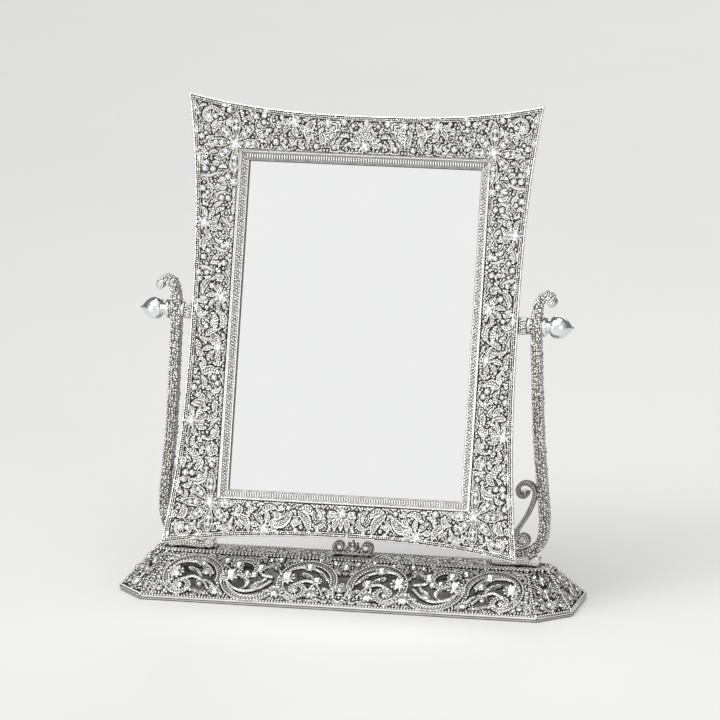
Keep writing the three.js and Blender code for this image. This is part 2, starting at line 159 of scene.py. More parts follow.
def lathe(profile, axis, origin, segments=48, bored=False):
    """A turned solid from (radius, height) points; the axis is a unit vector. A bored one has a
    wall from its last point to its first instead of two end caps."""
    axis = np.asarray(axis, float)
    side = np.cross(axis, [0.0, 1.0, 0.0] if abs(axis[1]) < 0.9 else [1.0, 0.0, 0.0])
    side /= np.linalg.norm(side)
    other = np.cross(axis, side)
    turn = np.arange(segments) / segments * TAU
    spoke = np.cos(turn)[:, None] * side + np.sin(turn)[:, None] * other
    rings = np.array([np.asarray(origin) + axis * h + spoke * max(r, 1e-3) for r, h in profile])
    if bored:
        return rings, [ring_faces(len(rings), segments)]
    return closed_loft(rings)


def both_ways(upper):
    """A turned profile from its upper half: the same below, then above."""
    return [(r, -h) for r, h in upper[::-1] if h] + upper


def resample(points, count):
    points = np.asarray(points, float)
    run = run_along(points)
    at = np.linspace(0, run[-1], count)
    return np.stack([np.interp(at, run, points[:, k]) for k in range(points.shape[1])], -1)


def run_along(points):
    """Distance along a line at each of its points."""
    return np.concatenate([[0], np.cumsum(np.linalg.norm(np.diff(points, axis=0), axis=1))])


def smooth_curve(points, count):
    """Catmull-Rom curve through 2-D points, evenly spaced by length."""
    p = np.asarray(points, float)
    p = np.vstack([2 * p[0] - p[1], p, 2 * p[-1] - p[-2]])
    t = np.linspace(0, 1, 14, endpoint=False)[:, None]
    dense = [0.5 * (2 * b + (c - a) * t + (2 * a - 5 * b + 4 * c - d) * t**2
                    + (3 * b - a - 3 * c + d) * t**3)
             for a, b, c, d in zip(p[:-3], p[1:-2], p[2:-1], p[3:])]
    return resample(np.vstack([*dense, p[-2][None]]), count)


def evenly(points, pitch):
    """The same line, stepped at about the given pitch."""
    length = float(np.linalg.norm(np.diff(np.asarray(points, float), axis=0), axis=1).sum())
    return resample(points, max(2, round(length / pitch) + 1))


def circle(x, y, radius, count):
    turn = np.arange(count) / count * TAU
    return np.stack([x + radius * np.cos(turn), y + radius * np.sin(turn)], -1)


def spiral(centre, outer, inner, start, end, count):
    """From the outer turn inwards; angles in turns."""
    part = np.linspace(0, 1, count)
    radius = outer + (inner - outer) * part
    angle = (start + (end - start) * part) * TAU
    return np.stack([centre[0] + radius * np.cos(angle), centre[1] + radius * np.sin(angle)], -1)


def normals_2d(points):
    step = np.gradient(np.asarray(points, float), axis=0)
    step /= np.maximum(np.linalg.norm(step, axis=1), 1e-9)[:, None]
    return np.stack([-step[:, 1], step[:, 0]], -1)


def offset_line(points, distance):
    return np.asarray(points, float) + normals_2d(points) * np.asarray(distance)[..., None]


# ------------------------------------------------- surfaces: (x, y, height) to the CAD frame


def arrays(*values):
    """The values as float arrays of one shape."""
    return [np.asarray(v, float) for v in np.broadcast_arrays(*values)]


def axes_on(surface, x, y, h):
    """Right, up and outward unit vectors of a surface at each place, (n, 3, 3)."""
    e = 0.05
    right = surface(x + e, y, h) - surface(x - e, y, h)
    out = surface(x, y, h + e) - surface(x, y, h - e)
    right /= np.linalg.norm(right, axis=-1, keepdims=True)
    out /= np.linalg.norm(out, axis=-1, keepdims=True)
    return np.stack([right, np.cross(out, right), out], -2)


def flat_surface(origin, right, up):
    origin, right, up = (np.asarray(v, float) for v in (origin, right, up))
    out = np.cross(right, up)

    def surface(x, y, h):
        x, y, h = (v[..., None] for v in arrays(x, y, h))
        return origin + x * right + y * up + h * out

    return surface


def scatter(mesh, template, surface, x, y, h, radius, oxide=0.0, spin=0.0):
    """Copies of a template solid standing on a surface. The template's oxide and painted light may
    vary.
    """
    verts, faces = template
    x, y, h, radius, spin = (np.atleast_1d(v) for v in arrays(x, y, h, radius, spin))
    if not len(x):
        return
    c, s = np.cos(spin)[:, None], np.sin(spin)[:, None]
    local = np.stack([verts[:, 0] * c - verts[:, 1] * s, verts[:, 0] * s + verts[:, 1] * c,
                      np.broadcast_to(verts[:, 2], (len(x), len(verts)))], -1)
    local = local * radius[:, None, None]
    world = surface(x, y, h)[:, None] + np.einsum("nvk,nkc->nvc", local, axes_on(surface, x, y, h))
    shift = (np.arange(len(x)) * len(verts))[:, None, None]
    mesh.add(world, [(f[None] + shift).reshape(-1, f.shape[1]) for f in faces],
             np.tile(np.broadcast_to(oxide, len(verts)), len(x)))


def bead_shade(gain, level, oxide=0.0, template=None):
    """Oxide of a grain: bare on top and darker towards its foot."""
    heights = (BEAD if template is None else template)[0][:, 2]
    return np.clip(oxide + gain * (level - heights), 0, 1)


def turned_template(profile, sides, shift=0.0):
    """Small closed turned solid as (vertices, faces), from the bottom to an apex or table."""
    turn = (np.arange(sides) + shift) / sides * TAU
    verts = np.array([[r * math.cos(a), r * math.sin(a), h] for r, h in profile for a in turn])
    top = (len(profile) - 1) * sides
    return verts, [tube_faces(len(profile), sides), np.arange(sides)[None, ::-1],
                   top + np.arange(sides)[None]]


def ring_template(profile, sides):
    """Closed ring with a small closed cross-section of (radius, height) points."""
    turn = np.arange(sides) / sides * TAU
    verts = np.array([[r * math.cos(a), r * math.sin(a), h] for a in turn for r, h in profile])
    return verts, [ring_faces(sides, len(profile))[:, [0, 3, 2, 1]]]


def brilliant_template():
    """Round stone: girdle, eight kite facets and a table; flat faces, each with its own painted
    reflection.
    """
    sixteen = np.arange(16) / 16 * TAU
    rings = ((0.9, -0.5, sixteen), (1, 0.0, sixteen), (0.8, 0.30, sixteen[::2] + TAU / 16),
             (0.56, 0.46, sixteen[::2]))
    verts = np.array([(r * math.cos(a), r * math.sin(a), h) for r, h, ring in rings for a in ring])
    i = np.arange(16)
    n = (i + 1) % 16
    k = np.arange(8)
    m = (k + 1) % 8
    girdle, star, table = 16, 32, 40
    lower = [(girdle + 2 * k, girdle + 2 * k + 1, star + k),
             (girdle + 2 * k + 1, girdle + (2 * k + 2) % 16, star + k),
             (girdle + (2 * k + 2) % 16, star + m, star + k),
             (star + k, star + m, table + m), (star + k, table + m, table + k)]
    facets = [*np.stack([i, n, 16 + n, 16 + i], -1),
              *np.concatenate([np.stack(corners, -1) for corners in lower]),
              table + np.arange(8), np.arange(16)[::-1]]
    # Painted reflections: a fixed tone for each facet, bright when low and dark when high.
    tones_with_painted_light = [0.5] * 16 + [0.95, 0.15, 0.7, 0.0, 0.45, 0.1, 0.8, 0.3] * 5 + [0.1, 0.5]
    sizes = [len(f) for f in facets]
    starts = np.cumsum([0, *sizes[:-1]])
    faces = [np.array([s + np.arange(size) for s, size in zip(starts, sizes) if size == n])
             for n in sorted(set(sizes))]
    return np.concatenate([verts[f] for f in facets]), faces, np.repeat(tones_with_painted_light, sizes)


BEAD = turned_template([(0.85, -0.6), (1.0, 0.0), (0.78, 0.62), (0.34, 0.94)], 7)
BOSS = turned_template(
    [(0.9, -0.6), (1.0, 0.0), (0.92, 0.4), (0.7, 0.72), (0.38, 0.93), (0.1, 1.0)], 14)
BAR = turned_template([(1.0, -0.5), (1.0, 0.1), (0.7, 0.55)], 8, 0.5)
CUP = ring_template([(0.97, -0.5), (1.24, -0.5), (1.27, 0.0), (1.13, 0.2), (1.0, 0.06)], 14)
*STONE, STONE_PAINTED_REFLECTION = brilliant_template()

# ---------------------------------------------------------------- relief: a height field

FAR = 5.0  # farthest distance from a motif that is kept


def blurred(field, cells):
    """Mean over a square of about twice the given number of cells a side, applied twice."""
    width = 2 * cells + 1
    for _ in range(2):
        for axis in (0, 1):
            pads = [(0, 0), (0, 0)]
            pads[axis] = (cells + 1, cells)
            total = np.cumsum(np.pad(field, pads, mode="edge"), axis=axis)
            high = np.take(total, np.arange(width, total.shape[axis]), axis=axis)
            low = np.take(total, np.arange(0, total.shape[axis] - width), axis=axis)
            field = (high - low) / width
    return field


class Relief:
    """Cast relief in millimetres. height is above the ground; inside is the distance in from
    the nearest edge or piercing, negative where there is no metal; away is the distance out
    from the nearest motif's edge."""

    def __init__(self, x_span, y_span, step):
        self.step = step
        self.x0, self.y0 = x_span[0], y_span[0]
        columns = round((x_span[1] - x_span[0]) / step) + 1
        rows = round((y_span[1] - y_span[0]) / step) + 1
        self.X, self.Y = np.meshgrid(x_span[0] + np.arange(columns) * step,
                                     y_span[0] + np.arange(rows) * step)
        self.height = np.zeros_like(self.X)
        self.inside = np.full_like(self.X, 9.0)
        self.away = np.full_like(self.X, FAR)

    def near(self, points, reach):
        """The window round a line, with each place's distance and part along, and the line's
        length."""
        points = np.atleast_2d(np.asarray(points, float))
        if len(points) == 1:
            points = np.vstack([points, points + 1e-4])
        low, high = points.min(0) - reach, points.max(0) + reach
        cell = lambda v, origin, count: int(np.clip(round((v - origin) / self.step), 0, count))
        rows, columns = self.X.shape
        j0, j1 = (cell(v, self.x0, columns) for v in (low[0], high[0]))
        i0, i1 = (cell(v, self.y0, rows) for v in (low[1], high[1]))
        window = (slice(i0, i1 + 1), slice(j0, j1 + 1))
        a = points[:-1, :, None, None]
        d = np.diff(points, axis=0)[:, :, None, None]
        x, y = self.X[window][None] - a[:, 0], self.Y[window][None] - a[:, 1]
        size = np.maximum(d[:, 0]**2 + d[:, 1]**2, 1e-12)
        t = np.clip((x * d[:, 0] + y * d[:, 1]) / size, 0, 1)
        square = (x - t * d[:, 0])**2 + (y - t * d[:, 1])**2
        best = square.argmin(0)[None]
        pick = lambda v: np.take_along_axis(np.broadcast_to(v, square.shape), best, 0)[0]
        lengths = np.sqrt(size[:, 0, 0])
        run = np.concatenate([[0], np.cumsum(lengths[:-1])])
        total = run[-1] + lengths[-1]
        along = (run[best[0]] + pick(t) * lengths[best[0]]) / total
        return window, np.sqrt(pick(square)), along, total

    def lift(self, window, height, gap):
        """Raises the surface inside a motif; gap is the distance out from its edge."""
        self.height[window] = np.maximum(self.height[window], np.where(gap < 0, height, -9))
        self.away[window] = np.minimum(self.away[window], gap)

    def ridge(self, points, half, height):
        """Round-topped line."""
        window, d, _, _ = self.near(points, half + FAR)
        w = half + 1e-3
        self.lift(window, height * np.sqrt(np.clip(1 - (d / w)**2, 0, 1))**0.8, d - w)

    def slit(self, points, half, point=1.0):
        """Piercing along a line, pointed at both ends."""
        window, d, t, _ = self.near(points, half + 3)
        w = half * np.clip(1 - point * np.abs(2 * t - 1)**2.2, 0.02, 1)
        self.inside[window] = np.minimum(self.inside[window], d - w)

    def disc(self, x, y, radius, height, flat=0.0):
        window, d, _, _ = self.near([[x, y]], radius + FAR)
        q = np.clip((d / radius - flat) / (1 - flat), 0, 1)
        self.lift(window, height * np.sqrt(1 - q**2), d - radius)

    def leaf(self, points, half, height, veins=1.5, lean=0.9, rim=0.35, lobes=0, power=0.75,
             depth=0.9):
        """Leaf along a curved spine: raised rim, midrib and slanted veins."""
        window, d, t, total = self.near(points, half * 1.3 + FAR)
        w = half * np.sin(math.pi * np.clip(t, 0.02, 0.98)**power)**0.75
        if lobes:
            w = w * (1 + 0.2 * np.cos(TAU * lobes * t))
        q = d / np.maximum(w, 1e-3)
        body = height * (0.5 + 0.22 * np.sqrt(np.clip(1 - q**2, 0, 1)))
        edge = rim * np.exp(-((q - 0.86) / 0.13)**2)
        midrib = 0.3 * height * np.exp(-(d / 0.45)**2)
        groove = 0.5 + 0.5 * np.cos(TAU * (t * total - lean * d) / veins)
        surface = body + edge + midrib - depth * height * groove * np.clip(1.1 - q, 0, 0.6)
        self.lift(window, surface, d - w)

    def band(self, points, half, height, taper, core=0.5):
        """Flat scroll band with a raised rim on both sides and a sunk middle."""
        window, d, t, _ = self.near(points, half + FAR)
        w = half * (1 - taper * t**1.5) + 1e-3
        rims = np.exp(-((d / w - 0.8) / 0.17)**2)
        self.lift(window, height * (core + (1 - core) * rims), d - w)

    def add_metal(self, points, half, taper=0.0):
        """Metal back over an opening, along a line."""
        window, d, t, _ = self.near(points, half + 3)
        w = half * (1 - taper * t**1.5)
        self.inside[window] = np.maximum(self.inside[window], w - d)

    def at(self, field, x, y):
        """Value of a field at places, from the nearest grid point."""
        rows, columns = self.X.shape
        j = np.clip(np.rint((np.asarray(x) - self.x0) / self.step).astype(int), 0, columns - 1)
        i = np.clip(np.rint((np.asarray(y) - self.y0) / self.step).astype(int), 0, rows - 1)
        return field[i, j]

    def mirrored(self):
        """The relief of x <= 0 with its mirror image in x = 0."""
        whole = Relief.__new__(Relief)
        whole.step, whole.x0, whole.y0 = self.step, self.x0, self.y0
        for name in ("Y", "height", "inside", "away"):
            half = getattr(self, name)
            setattr(whole, name, np.concatenate([half, half[:, -2::-1]], 1))
        whole.X = np.concatenate([self.X, -self.X[:, -2::-1]], 1)
        return whole

    def grain_ground(self, pitch=1.9, height=0.6):
        """Rows of grains on the ground that follow the motifs' edges, as chased by hand."""
        rows = 0.5 + 0.5 * np.cos(TAU * (np.minimum(self.away, FAR) / pitch - 0.74))
        wave = self.X * 0.21 + 0.7 * np.sin(self.Y / 6.0)
        a = np.cos(TAU * (self.X * 0.82 + self.Y * 0.57 + wave) / pitch)
        b = np.cos(TAU * (self.X * 0.57 - self.Y * 0.82 + wave) / pitch)
        grains = 0.5 + 0.25 * (a + b)
        ground = height * (0.5 * rows + 0.5 * grains) - 0.4
        ground += RNG.uniform(-0.12, 0.12, self.X.shape)
        self.height = np.where(self.away > 0, ground, self.height)

    def soften(self, width=0.9, drop=0.45):
        """Rounds the metal off towards its edges."""
        self.height -= drop * np.clip(1 - self.inside / width, 0, 1)**2

    def cavity(self, span=0.9, gain=3.2, base=0.54, level=0.45, middle=0.45):
        """Oxide: dark in hollows, low places and round the motifs, bare on crests."""
        around = blurred(self.height, max(1, round(span / self.step)))
        outline = 0.6 * ((self.away > -0.15) & (self.away < 0.5))
        tone = base + gain * (around - self.height) + level * (middle - self.height) + outline
        return np.clip(tone, 0, 1)

    def solid(self, mesh, surface, thickness, region=None, oxide=None, jitter=0.0, under=0.62):
        """Adds the metal as a closed sheet to a mesh; edges are snapped to the outline. under is
        the most oxide there can be on its back."""
        inside = self.inside > 0
        corners = [(slice(None, -1), slice(None, -1)), (slice(1, None), slice(None, -1)),
                   (slice(None, -1), slice(1, None)), (slice(1, None), slice(1, None))]
        cells = np.any([inside[corner] for corner in corners], axis=0)
        if region is not None:
            cells &= region
        gy, gx = np.gradient(self.inside, self.step)
        pull = np.where(inside, 0, -self.inside) / np.maximum(gx**2 + gy**2, 0.3)
        limit = 0.95 * self.step
        used = np.zeros_like(inside)
        for corner in corners:
            used[corner] |= cells
        x = (self.X + np.clip(pull * gx, -limit, limit))[used]
        y = (self.Y + np.clip(pull * gy, -limit, limit))[used]
        count = len(x)
        index = np.full(inside.shape, -1)
        index[used] = np.arange(count)
        quads = np.stack([index[corners[k]] for k in (0, 2, 3, 1)], -1)[cells]
        edges = np.concatenate([quads[:, [k, (k + 1) % 4]] for k in range(4)])
        code = edges[:, 0] * count + edges[:, 1]
        border = edges[~np.isin(code, edges[:, 1] * count + edges[:, 0])]
        a, b = border.T
        walls = np.stack([b, a, a + count, b + count], -1)
        h = self.height[used]
        front = surface(x, y, h + jitter * RNG.uniform(-1, 1, count))
        back = surface(x, y, 0.6 * np.clip(h, -0.4, 1.1) - thickness)
        dark = (self.cavity() if oxide is None else oxide)[used]
        mesh.add(np.concatenate([front, back]), [quads, quads[:, ::-1] + count, walls],
                 np.concatenate([dark, np.clip(under - 0.5 * dark, 0, 1)]))
        return mesh


# ---------------------------------------------------------------- materials


class Nodes:
    """Short form for building a node tree."""

    def __init__(self, name):
        self.material = bpy.data.materials.new(name)
        self.material.use_nodes = True
        self.tree = self.material.node_tree
        self.tree.nodes.clear()
        self.output = self.tree.nodes.new("ShaderNodeOutputMaterial")

    def give(self, socket, value):
        if isinstance(value, bpy.types.NodeSocket):
            self.tree.links.new(value, socket)
        else:
            socket.default_value = value

    def new(self, kind, settings=None, **inputs):
        node = self.tree.nodes.new("ShaderNode" + kind)
        for key, value in (settings or {}).items():
            setattr(node, key, value)
        for key, value in inputs.items():
            self.give(node.inputs[key.replace("_", " ")], value)
        return node

    def coords(self):
        return self.new("TexCoord").outputs["Object"]

    # Reads the vertex tone: oxide, with painted shade and painted reflections on some pieces.
    def oxide(self):
        return self.new("Attribute", {"attribute_name": "oxide"}).outputs["Fac"]

    def noise(self, scale, detail=4.0, rough=0.55):
        return self.new("TexNoise", Vector=self.coords(), Scale=scale, Detail=detail,
                        Roughness=rough).outputs["Fac"]

    def ramp(self, value, *stops):
        node = self.new("ValToRGB", Fac=value)
        ramp = node.color_ramp
        while len(ramp.elements) < len(stops):
            ramp.elements.new(0.5)
        for element, (place, colour) in zip(ramp.elements, stops):
            element.position = place
            element.color = (*(colour if isinstance(colour, tuple) else (colour,) * 3), 1)
        return node.outputs["Color"]

    def math(self, operation, *values):
        node = self.new("Math", {"operation": operation})
        for socket, value in zip(node.inputs, values):
            self.give(socket, value)
        return node.outputs[0]

    def mix(self, factor, a, b):
        node = self.new("Mix", {"data_type": "RGBA"}, Factor=factor)
        self.give(node.inputs[6], (*a, 1))
        self.give(node.inputs[7], (*b, 1))
        return node.outputs[2]

    def bump(self, height, strength, distance, **normal):
        return self.new("Bump", Height=height, Strength=strength, Distance=distance,
                        **normal).outputs["Normal"]

    def finish(self, **inputs):
        shader = self.new("BsdfPrincipled", **inputs)
        self.tree.links.new(shader.outputs[0], self.output.inputs[0])
        return self.material


def silver(name, bright, dark, rough, grain=0.5):
    """Cast silver plate: bright where it is rubbed, dark oxide in the hollows."""
    n = Nodes(name)
    uneven = n.math("MULTIPLY_ADD", n.noise(260.0, 5.0, 0.6), 0.5, -0.25)
    speck = n.math("MULTIPLY", n.math("SUBTRACT", n.noise(1900.0, 3.0, 0.7), 0.5), 0.35)
    oxide = n.math("ADD", n.math("ADD", n.oxide(), uneven), speck)
    level = n.ramp(oxide, (0.12, 0.0), (0.85, 1.0))
    cells = n.new("TexVoronoi", {"feature": "SMOOTH_F1"}, Vector=n.coords(), Scale=1100.0,
                  Smoothness=0.3).outputs["Distance"]
    grains = n.bump(cells, grain, 0.00025)
    return n.finish(Base_Color=n.mix(level, bright, dark), Metallic=1.0,
                    Roughness=n.ramp(level, (0.0, rough), (1.0, 0.62)),
                    Normal=n.bump(n.noise(5200.0, 2.0), 0.12, 0.00006, Normal=grains))


def plain_metal(name, colour, rough, variation=0.06, scale=180.0, bump=0.08, metallic=1.0):
    """Smooth plated or turned metal with faint wear, smears and micro-scratches."""
    n = Nodes(name)
    dull, bright = (tuple(min(1, c * (1 + v)) for c in colour) for v in (-variation, variation))
    wear = n.noise(scale * 2.3, 5.0)
    return n.finish(Base_Color=n.mix(n.noise(scale, 6.0, 0.6), dull, bright), Metallic=metallic,
                    Roughness=n.ramp(wear, (0.3, rough * 0.75), (0.75, rough * 1.35)),
                    Normal=n.bump(n.noise(3800.0, 2.0), bump, 0.00004))


def mirror_material():
    n = Nodes("mirror_glass")
    colour = n.mix(n.noise(30.0, 5.0, 0.6), (0.905, 0.912, 0.915), (0.925, 0.930, 0.932))
    roughness = n.ramp(n.noise(55.0, 6.0), (0.35, 0.004), (0.8, 0.016))
    return n.finish(Base_Color=colour, Metallic=1.0, Roughness=roughness, Coat_Weight=0.4,
                    Coat_Roughness=0.01)


def crystal_material():
    """Foil-backed cut glass: facets painted bright and dark as reflections, with a hint of colour.
    """
    n = Nodes("crystal")
    speck = n.math("MULTIPLY", n.math("SUBTRACT", n.noise(700.0, 2.0), 0.5), 0.5)
    painted_facet_colour = n.ramp(n.math("ADD", n.oxide(), speck), (0.1, (0.97, 0.98, 0.99)),
                  (0.55, (0.62, 0.66, 0.70)), (0.95, (0.20, 0.22, 0.25)))
    roughness = n.ramp(n.noise(900.0), (0.3, 0.02), (0.8, 0.07))
    return n.finish(Base_Color=painted_facet_colour, Metallic=0.8, Roughness=roughness, IOR=1.6, Coat_Weight=1.0,
                    Coat_Roughness=0.02)


def felt_material():
    n = Nodes("felt")
    fibre = n.noise(2600.0, 8.0, 0.75)
    tuft = n.math("MULTIPLY", n.noise(420.0, 4.0), 0.4)
    colour = n.mix(n.math("ADD", n.math("MULTIPLY", fibre, 0.6), tuft),
                   (0.018, 0.018, 0.021), (0.075, 0.075, 0.082))
    return n.finish(Base_Color=colour, Roughness=n.ramp(fibre, (0.0, 0.88), (1.0, 0.99)),
                    Sheen_Weight=0.4, Sheen_Roughness=0.5, Normal=n.bump(fibre, 0.8, 0.0004))


def board_material():
    n = Nodes("backing_board")
    fibre = n.noise(700.0, 8.0, 0.7)
    return n.finish(Base_Color=n.mix(fibre, (0.23, 0.19, 0.14), (0.42, 0.36, 0.28)),
                    Roughness=n.ramp(fibre, (0.0, 0.8), (1.0, 0.95)),
                    Normal=n.bump(fibre, 0.4, 0.0003))


def floor_material():
    n = Nodes("floor")
    fine = n.noise(160.0, 4.0)
    return n.finish(Base_Color=n.mix(n.noise(2.5, 4.0), (0.80, 0.80, 0.795), (0.84, 0.84, 0.835)),
                    Roughness=n.ramp(fine, (0.0, 0.5), (1.0, 0.66)),
                    Normal=n.bump(fine, 0.1, 0.0004))


ANTIQUE = silver("antique_silver", (0.84, 0.82, 0.785), (0.045, 0.042, 0.038), 0.22)
SOFT = silver("soft_silver", (0.74, 0.735, 0.72), (0.16, 0.155, 0.15), 0.3, grain=0.15)
BEAD_SILVER = silver("bead_silver", (0.84, 0.825, 0.795), (0.06, 0.057, 0.052), 0.22, grain=0.06)
PLAIN = plain_metal("plain_silver", (0.64, 0.632, 0.615), 0.24)
CHROME = plain_metal("knob_chrome", (0.78, 0.79, 0.80), 0.045, variation=0.02, bump=0.02)
STEEL = plain_metal("steel", (0.58, 0.585, 0.59), 0.3)
SHEET = plain_metal("steel_sheet", (0.93, 0.925, 0.91), 0.5, variation=0.03, scale=90.0,
                    metallic=0.0)
BACK = plain_metal("back_plate", (0.60, 0.60, 0.59), 0.34, variation=0.08, scale=70.0, bump=0.2)
CRYSTAL = crystal_material()

# ---------------------------------------------------------------- mirror frame: outline and dish

FRAME_TOP, FRAME_BOTTOM, FRAME_HALF = 167.2, -181.7, 139.2
SAG_TOP, SAG_BOTTOM, SAG_SIDE, BOW = 12.1, 11.6, 11.3, 2.5
CORNER_RISE, BAND_INNER, BAND_OUTER, DISH_WIDTH = 6.4, 4.4, 6.9, 29
SIGHT_X, SIGHT_TOP, SIGHT_BOTTOM = 91.0, 117.5, -136.5
MOULDING = 8.0
TRAY_X, TRAY_TOP, TRAY_BOTTOM = SIGHT_X + MOULDING, SIGHT_TOP + MOULDING, SIGHT_BOTTOM - MOULDING
BAND_THICKNESS = 2.2


def bow(part):
    return 1 - np.abs(2 * part - 1)**BOW


def top_edge(u):
    return FRAME_TOP - SAG_TOP * bow((u / FRAME_HALF + 1) / 2)


def bottom_edge(u):
    return FRAME_BOTTOM + SAG_BOTTOM * bow((u / FRAME_HALF + 1) / 2)


def side_edge(v):
    return FRAME_HALF - SAG_SIDE * bow((v - FRAME_BOTTOM) / (FRAME_TOP - FRAME_BOTTOM))


def outside_tray(u, v):
    return [np.abs(u) - TRAY_X, v - TRAY_TOP, TRAY_BOTTOM - v]


def dish(u, v):
    """Front of the band above the plane through the tilt axis."""
    outside = np.maximum.reduce([*outside_tray(u, v), np.zeros_like(u)])
    rise = (BAND_OUTER - BAND_INNER) * np.minimum(outside / DISH_WIDTH, 1)
    middle = (FRAME_TOP + FRAME_BOTTOM) / 2
    corner = (np.abs(u) / FRAME_HALF) * (np.abs(v - middle) / (FRAME_TOP - middle))
    return BAND_INNER + rise + CORNER_RISE * corner**BOW


mirror_plane = flat_surface(PIVOT, RIGHT, UP)


def band_surface(u, v, h):
    u, v, h = arrays(u, v, h)
    return mirror_plane(u, v, dish(u, v) + h)


# ---------------------------------------------------------------- filigree


def ray(x, y, angle, start, end, bend=0.0, count=12):
    """Line outwards from a centre; angle in degrees, bend curls its far end."""
    t = np.linspace(0, 1, count)
    a = math.radians(angle) + math.radians(bend) * t**1.5
    r = start + (end - start) * t
    return np.stack([x + r * np.cos(a), y + r * np.sin(a)], -1)


class Filigree:
    """The relief of a panel, with the beads and stones that stand on it."""

    def __init__(self, relief):
        self.relief, self.beads, self.stones = relief, [], []

    def bead_line(self, points, pitch, radius, lift):
        self.beads += [(x, y, lift, radius) for x, y in evenly(points, pitch)]

    def bead_ring(self, x, y, distance, count, lift, radius):
        self.beads += [(px, py, lift, radius) for px, py in circle(x, y, distance, count)]

    def stone(self, x, y, radius, lift=0.55, prongs=True):
        radius *= 1.1
        self.stones.append((x, y, lift, radius))
        self.relief.disc(x, y, radius * 1.38, min(lift, 0.25), flat=0.75)
        if prongs and radius > 2.1:
            self.bead_ring(x, y, 1.42 * radius, 10, lift, radius * 0.3)

    def stones_at(self, places, lift):
        for x, y, radius in places:
            self.stone(x, y, radius, lift)

    def slits(self, lines, count, half):
        for line in lines:
            self.relief.slit(smooth_curve(line, count), half)

    def petal(self, x, y, angle, reach, half):
        """Pointed petal with a beaded edge and two stones."""
        spine = ray(x, y, angle, 4.2, reach)
        self.relief.leaf(spine, half, 0.5, lean=0.4, rim=0.55, power=0.9, depth=0.7)
        t = np.linspace(0, 1, len(spine))
        w = half * 0.9 * (1 - np.abs(2 * t - 1)**2.0)**0.8
        outline = np.vstack([offset_line(spine, w), offset_line(spine, -w)[::-1]])
        self.bead_line(outline, 1.5, 0.68, 0.7)
        for k, radius in ((4, 1.75), (7, 1.5)):
            self.stone(*spine[k], radius, 0.6, prongs=False)

    def flower(self, x, y, radius, half, petals):
        """A large stone with leaves round it at the given angles."""
        for angle, length in petals:
            self.relief.leaf(ray(x, y, angle, radius * 1.5, length, bend=18), half, 1.0)
        self.stone(x, y, radius, 0.9)

    def leaf(self, points, half, height, **look):
        self.relief.leaf(smooth_curve(points, 12), half, height, **look)


def fill_leaves(art, room, flow, tries, length, half, pierce, clear=2.0):
    """Leaves in what is left of the ground. room is how far from an edge and from a motif they
    start; flow gives a direction, in radians, at a place."""
    relief = art.relief
    rows, columns = np.nonzero((relief.inside > room[0]) & (relief.away > room[1]))
    for _ in range(tries):
        pick = RNG.integers(len(rows))
        x, y = relief.X[rows[pick], columns[pick]], relief.Y[rows[pick], columns[pick]]
        size, wide = RNG.uniform(*length), RNG.uniform(*half)
        angle = flow(x, y) + RNG.normal(0, 0.5)
        bend = RNG.choice([-1, 1]) * RNG.uniform(25, 75)
        spine = ray(x, y, math.degrees(angle), 0, size, bend, 9)
        window, away = relief.near(spine, wide)[:2]
        taken = relief.away[window][away < wide * 0.8]
        rim = relief.inside[window][away < wide * 0.8]
        if not len(taken) or (taken < 0).mean() > 0.13 or rim.min(initial=FAR) < 0.7:
            continue
        relief.leaf(spine, wide, RNG.uniform(0.75, 1.0), veins=RNG.choice([1.4, 1.7, 2.0]),
                    lean=RNG.uniform(0.6, 1.2), rim=RNG.uniform(0.3, 0.5),
                    power=RNG.uniform(0.6, 1.0))
        if RNG.random() < pierce:
            cut = offset_line(spine, RNG.choice([-1, 1]) * (wide + 0.75))[1:-2]
            window, away = relief.near(cut, 0.8)[:2]
            if (relief.inside[window][away < 0.8].min(initial=FAR) > clear and (away < 0.6).any()
                    and (relief.away[window][away < 0.6] > 0).mean() > 0.7):
                relief.slit(cut, RNG.uniform(0.9, 1.3))


def fill_grains(art, tries, spans, room, stone_part):
    """Small stones, 99 at most, and grains in the last gaps."""
    relief = art.relief
    placed = 0
    for _ in range(tries):
        x, y = RNG.uniform(*spans[0]), RNG.uniform(*spans[1])
        window, away = relief.near([[x, y]], room)[:2]
        near = away < room
        if (not near.any() or relief.away[window][near].min() < 0
                or relief.inside[window][near].min() < 0.25):
            continue
        if RNG.random() < stone_part and placed < 99:
            art.stone(x, y, RNG.uniform(1.05, 1.5), 0.45)
            placed += 1
        else:
            relief.disc(x, y, room * 0.95, 0.62)
            art.beads.append((x, y, 0.35, RNG.uniform(0.6, 0.85)))


def fill_beads(art, pitch=1.85, sizes=(0.5, 0.85)):
    """Granulation: loose rows of small grains on whatever ground is left."""
    relief = art.relief
    x, y = np.meshgrid(np.arange(relief.X.min(), relief.X.max(), pitch),
                       np.arange(relief.Y.min(), relief.Y.max(), pitch * 0.87))
    x = x + 0.5 * pitch * (np.arange(len(x)) % 2)[:, None]
    x = (x + RNG.uniform(-0.3, 0.3, x.shape)).ravel()
    y = (y + RNG.uniform(-0.3, 0.3, y.shape)).ravel()
    keep = (relief.at(relief.away, x, y) > 0.5) & (relief.at(relief.inside, x, y) > 0.75)
    radius = RNG.uniform(*sizes, len(x))
    art.beads += [(a, b, -0.05, r) for a, b, r, k in zip(x, y, radius, keep) if k]


def mirrored_list(entries):
    """Places of x < 0 with their mirror images, then those in the middle."""
    a = np.array(entries)
    left, middle = a[a[:, 0] < -0.3], a[a[:, 0] >= -0.3]
    return np.concatenate([left, left * [-1, 1, 1, 1], middle])


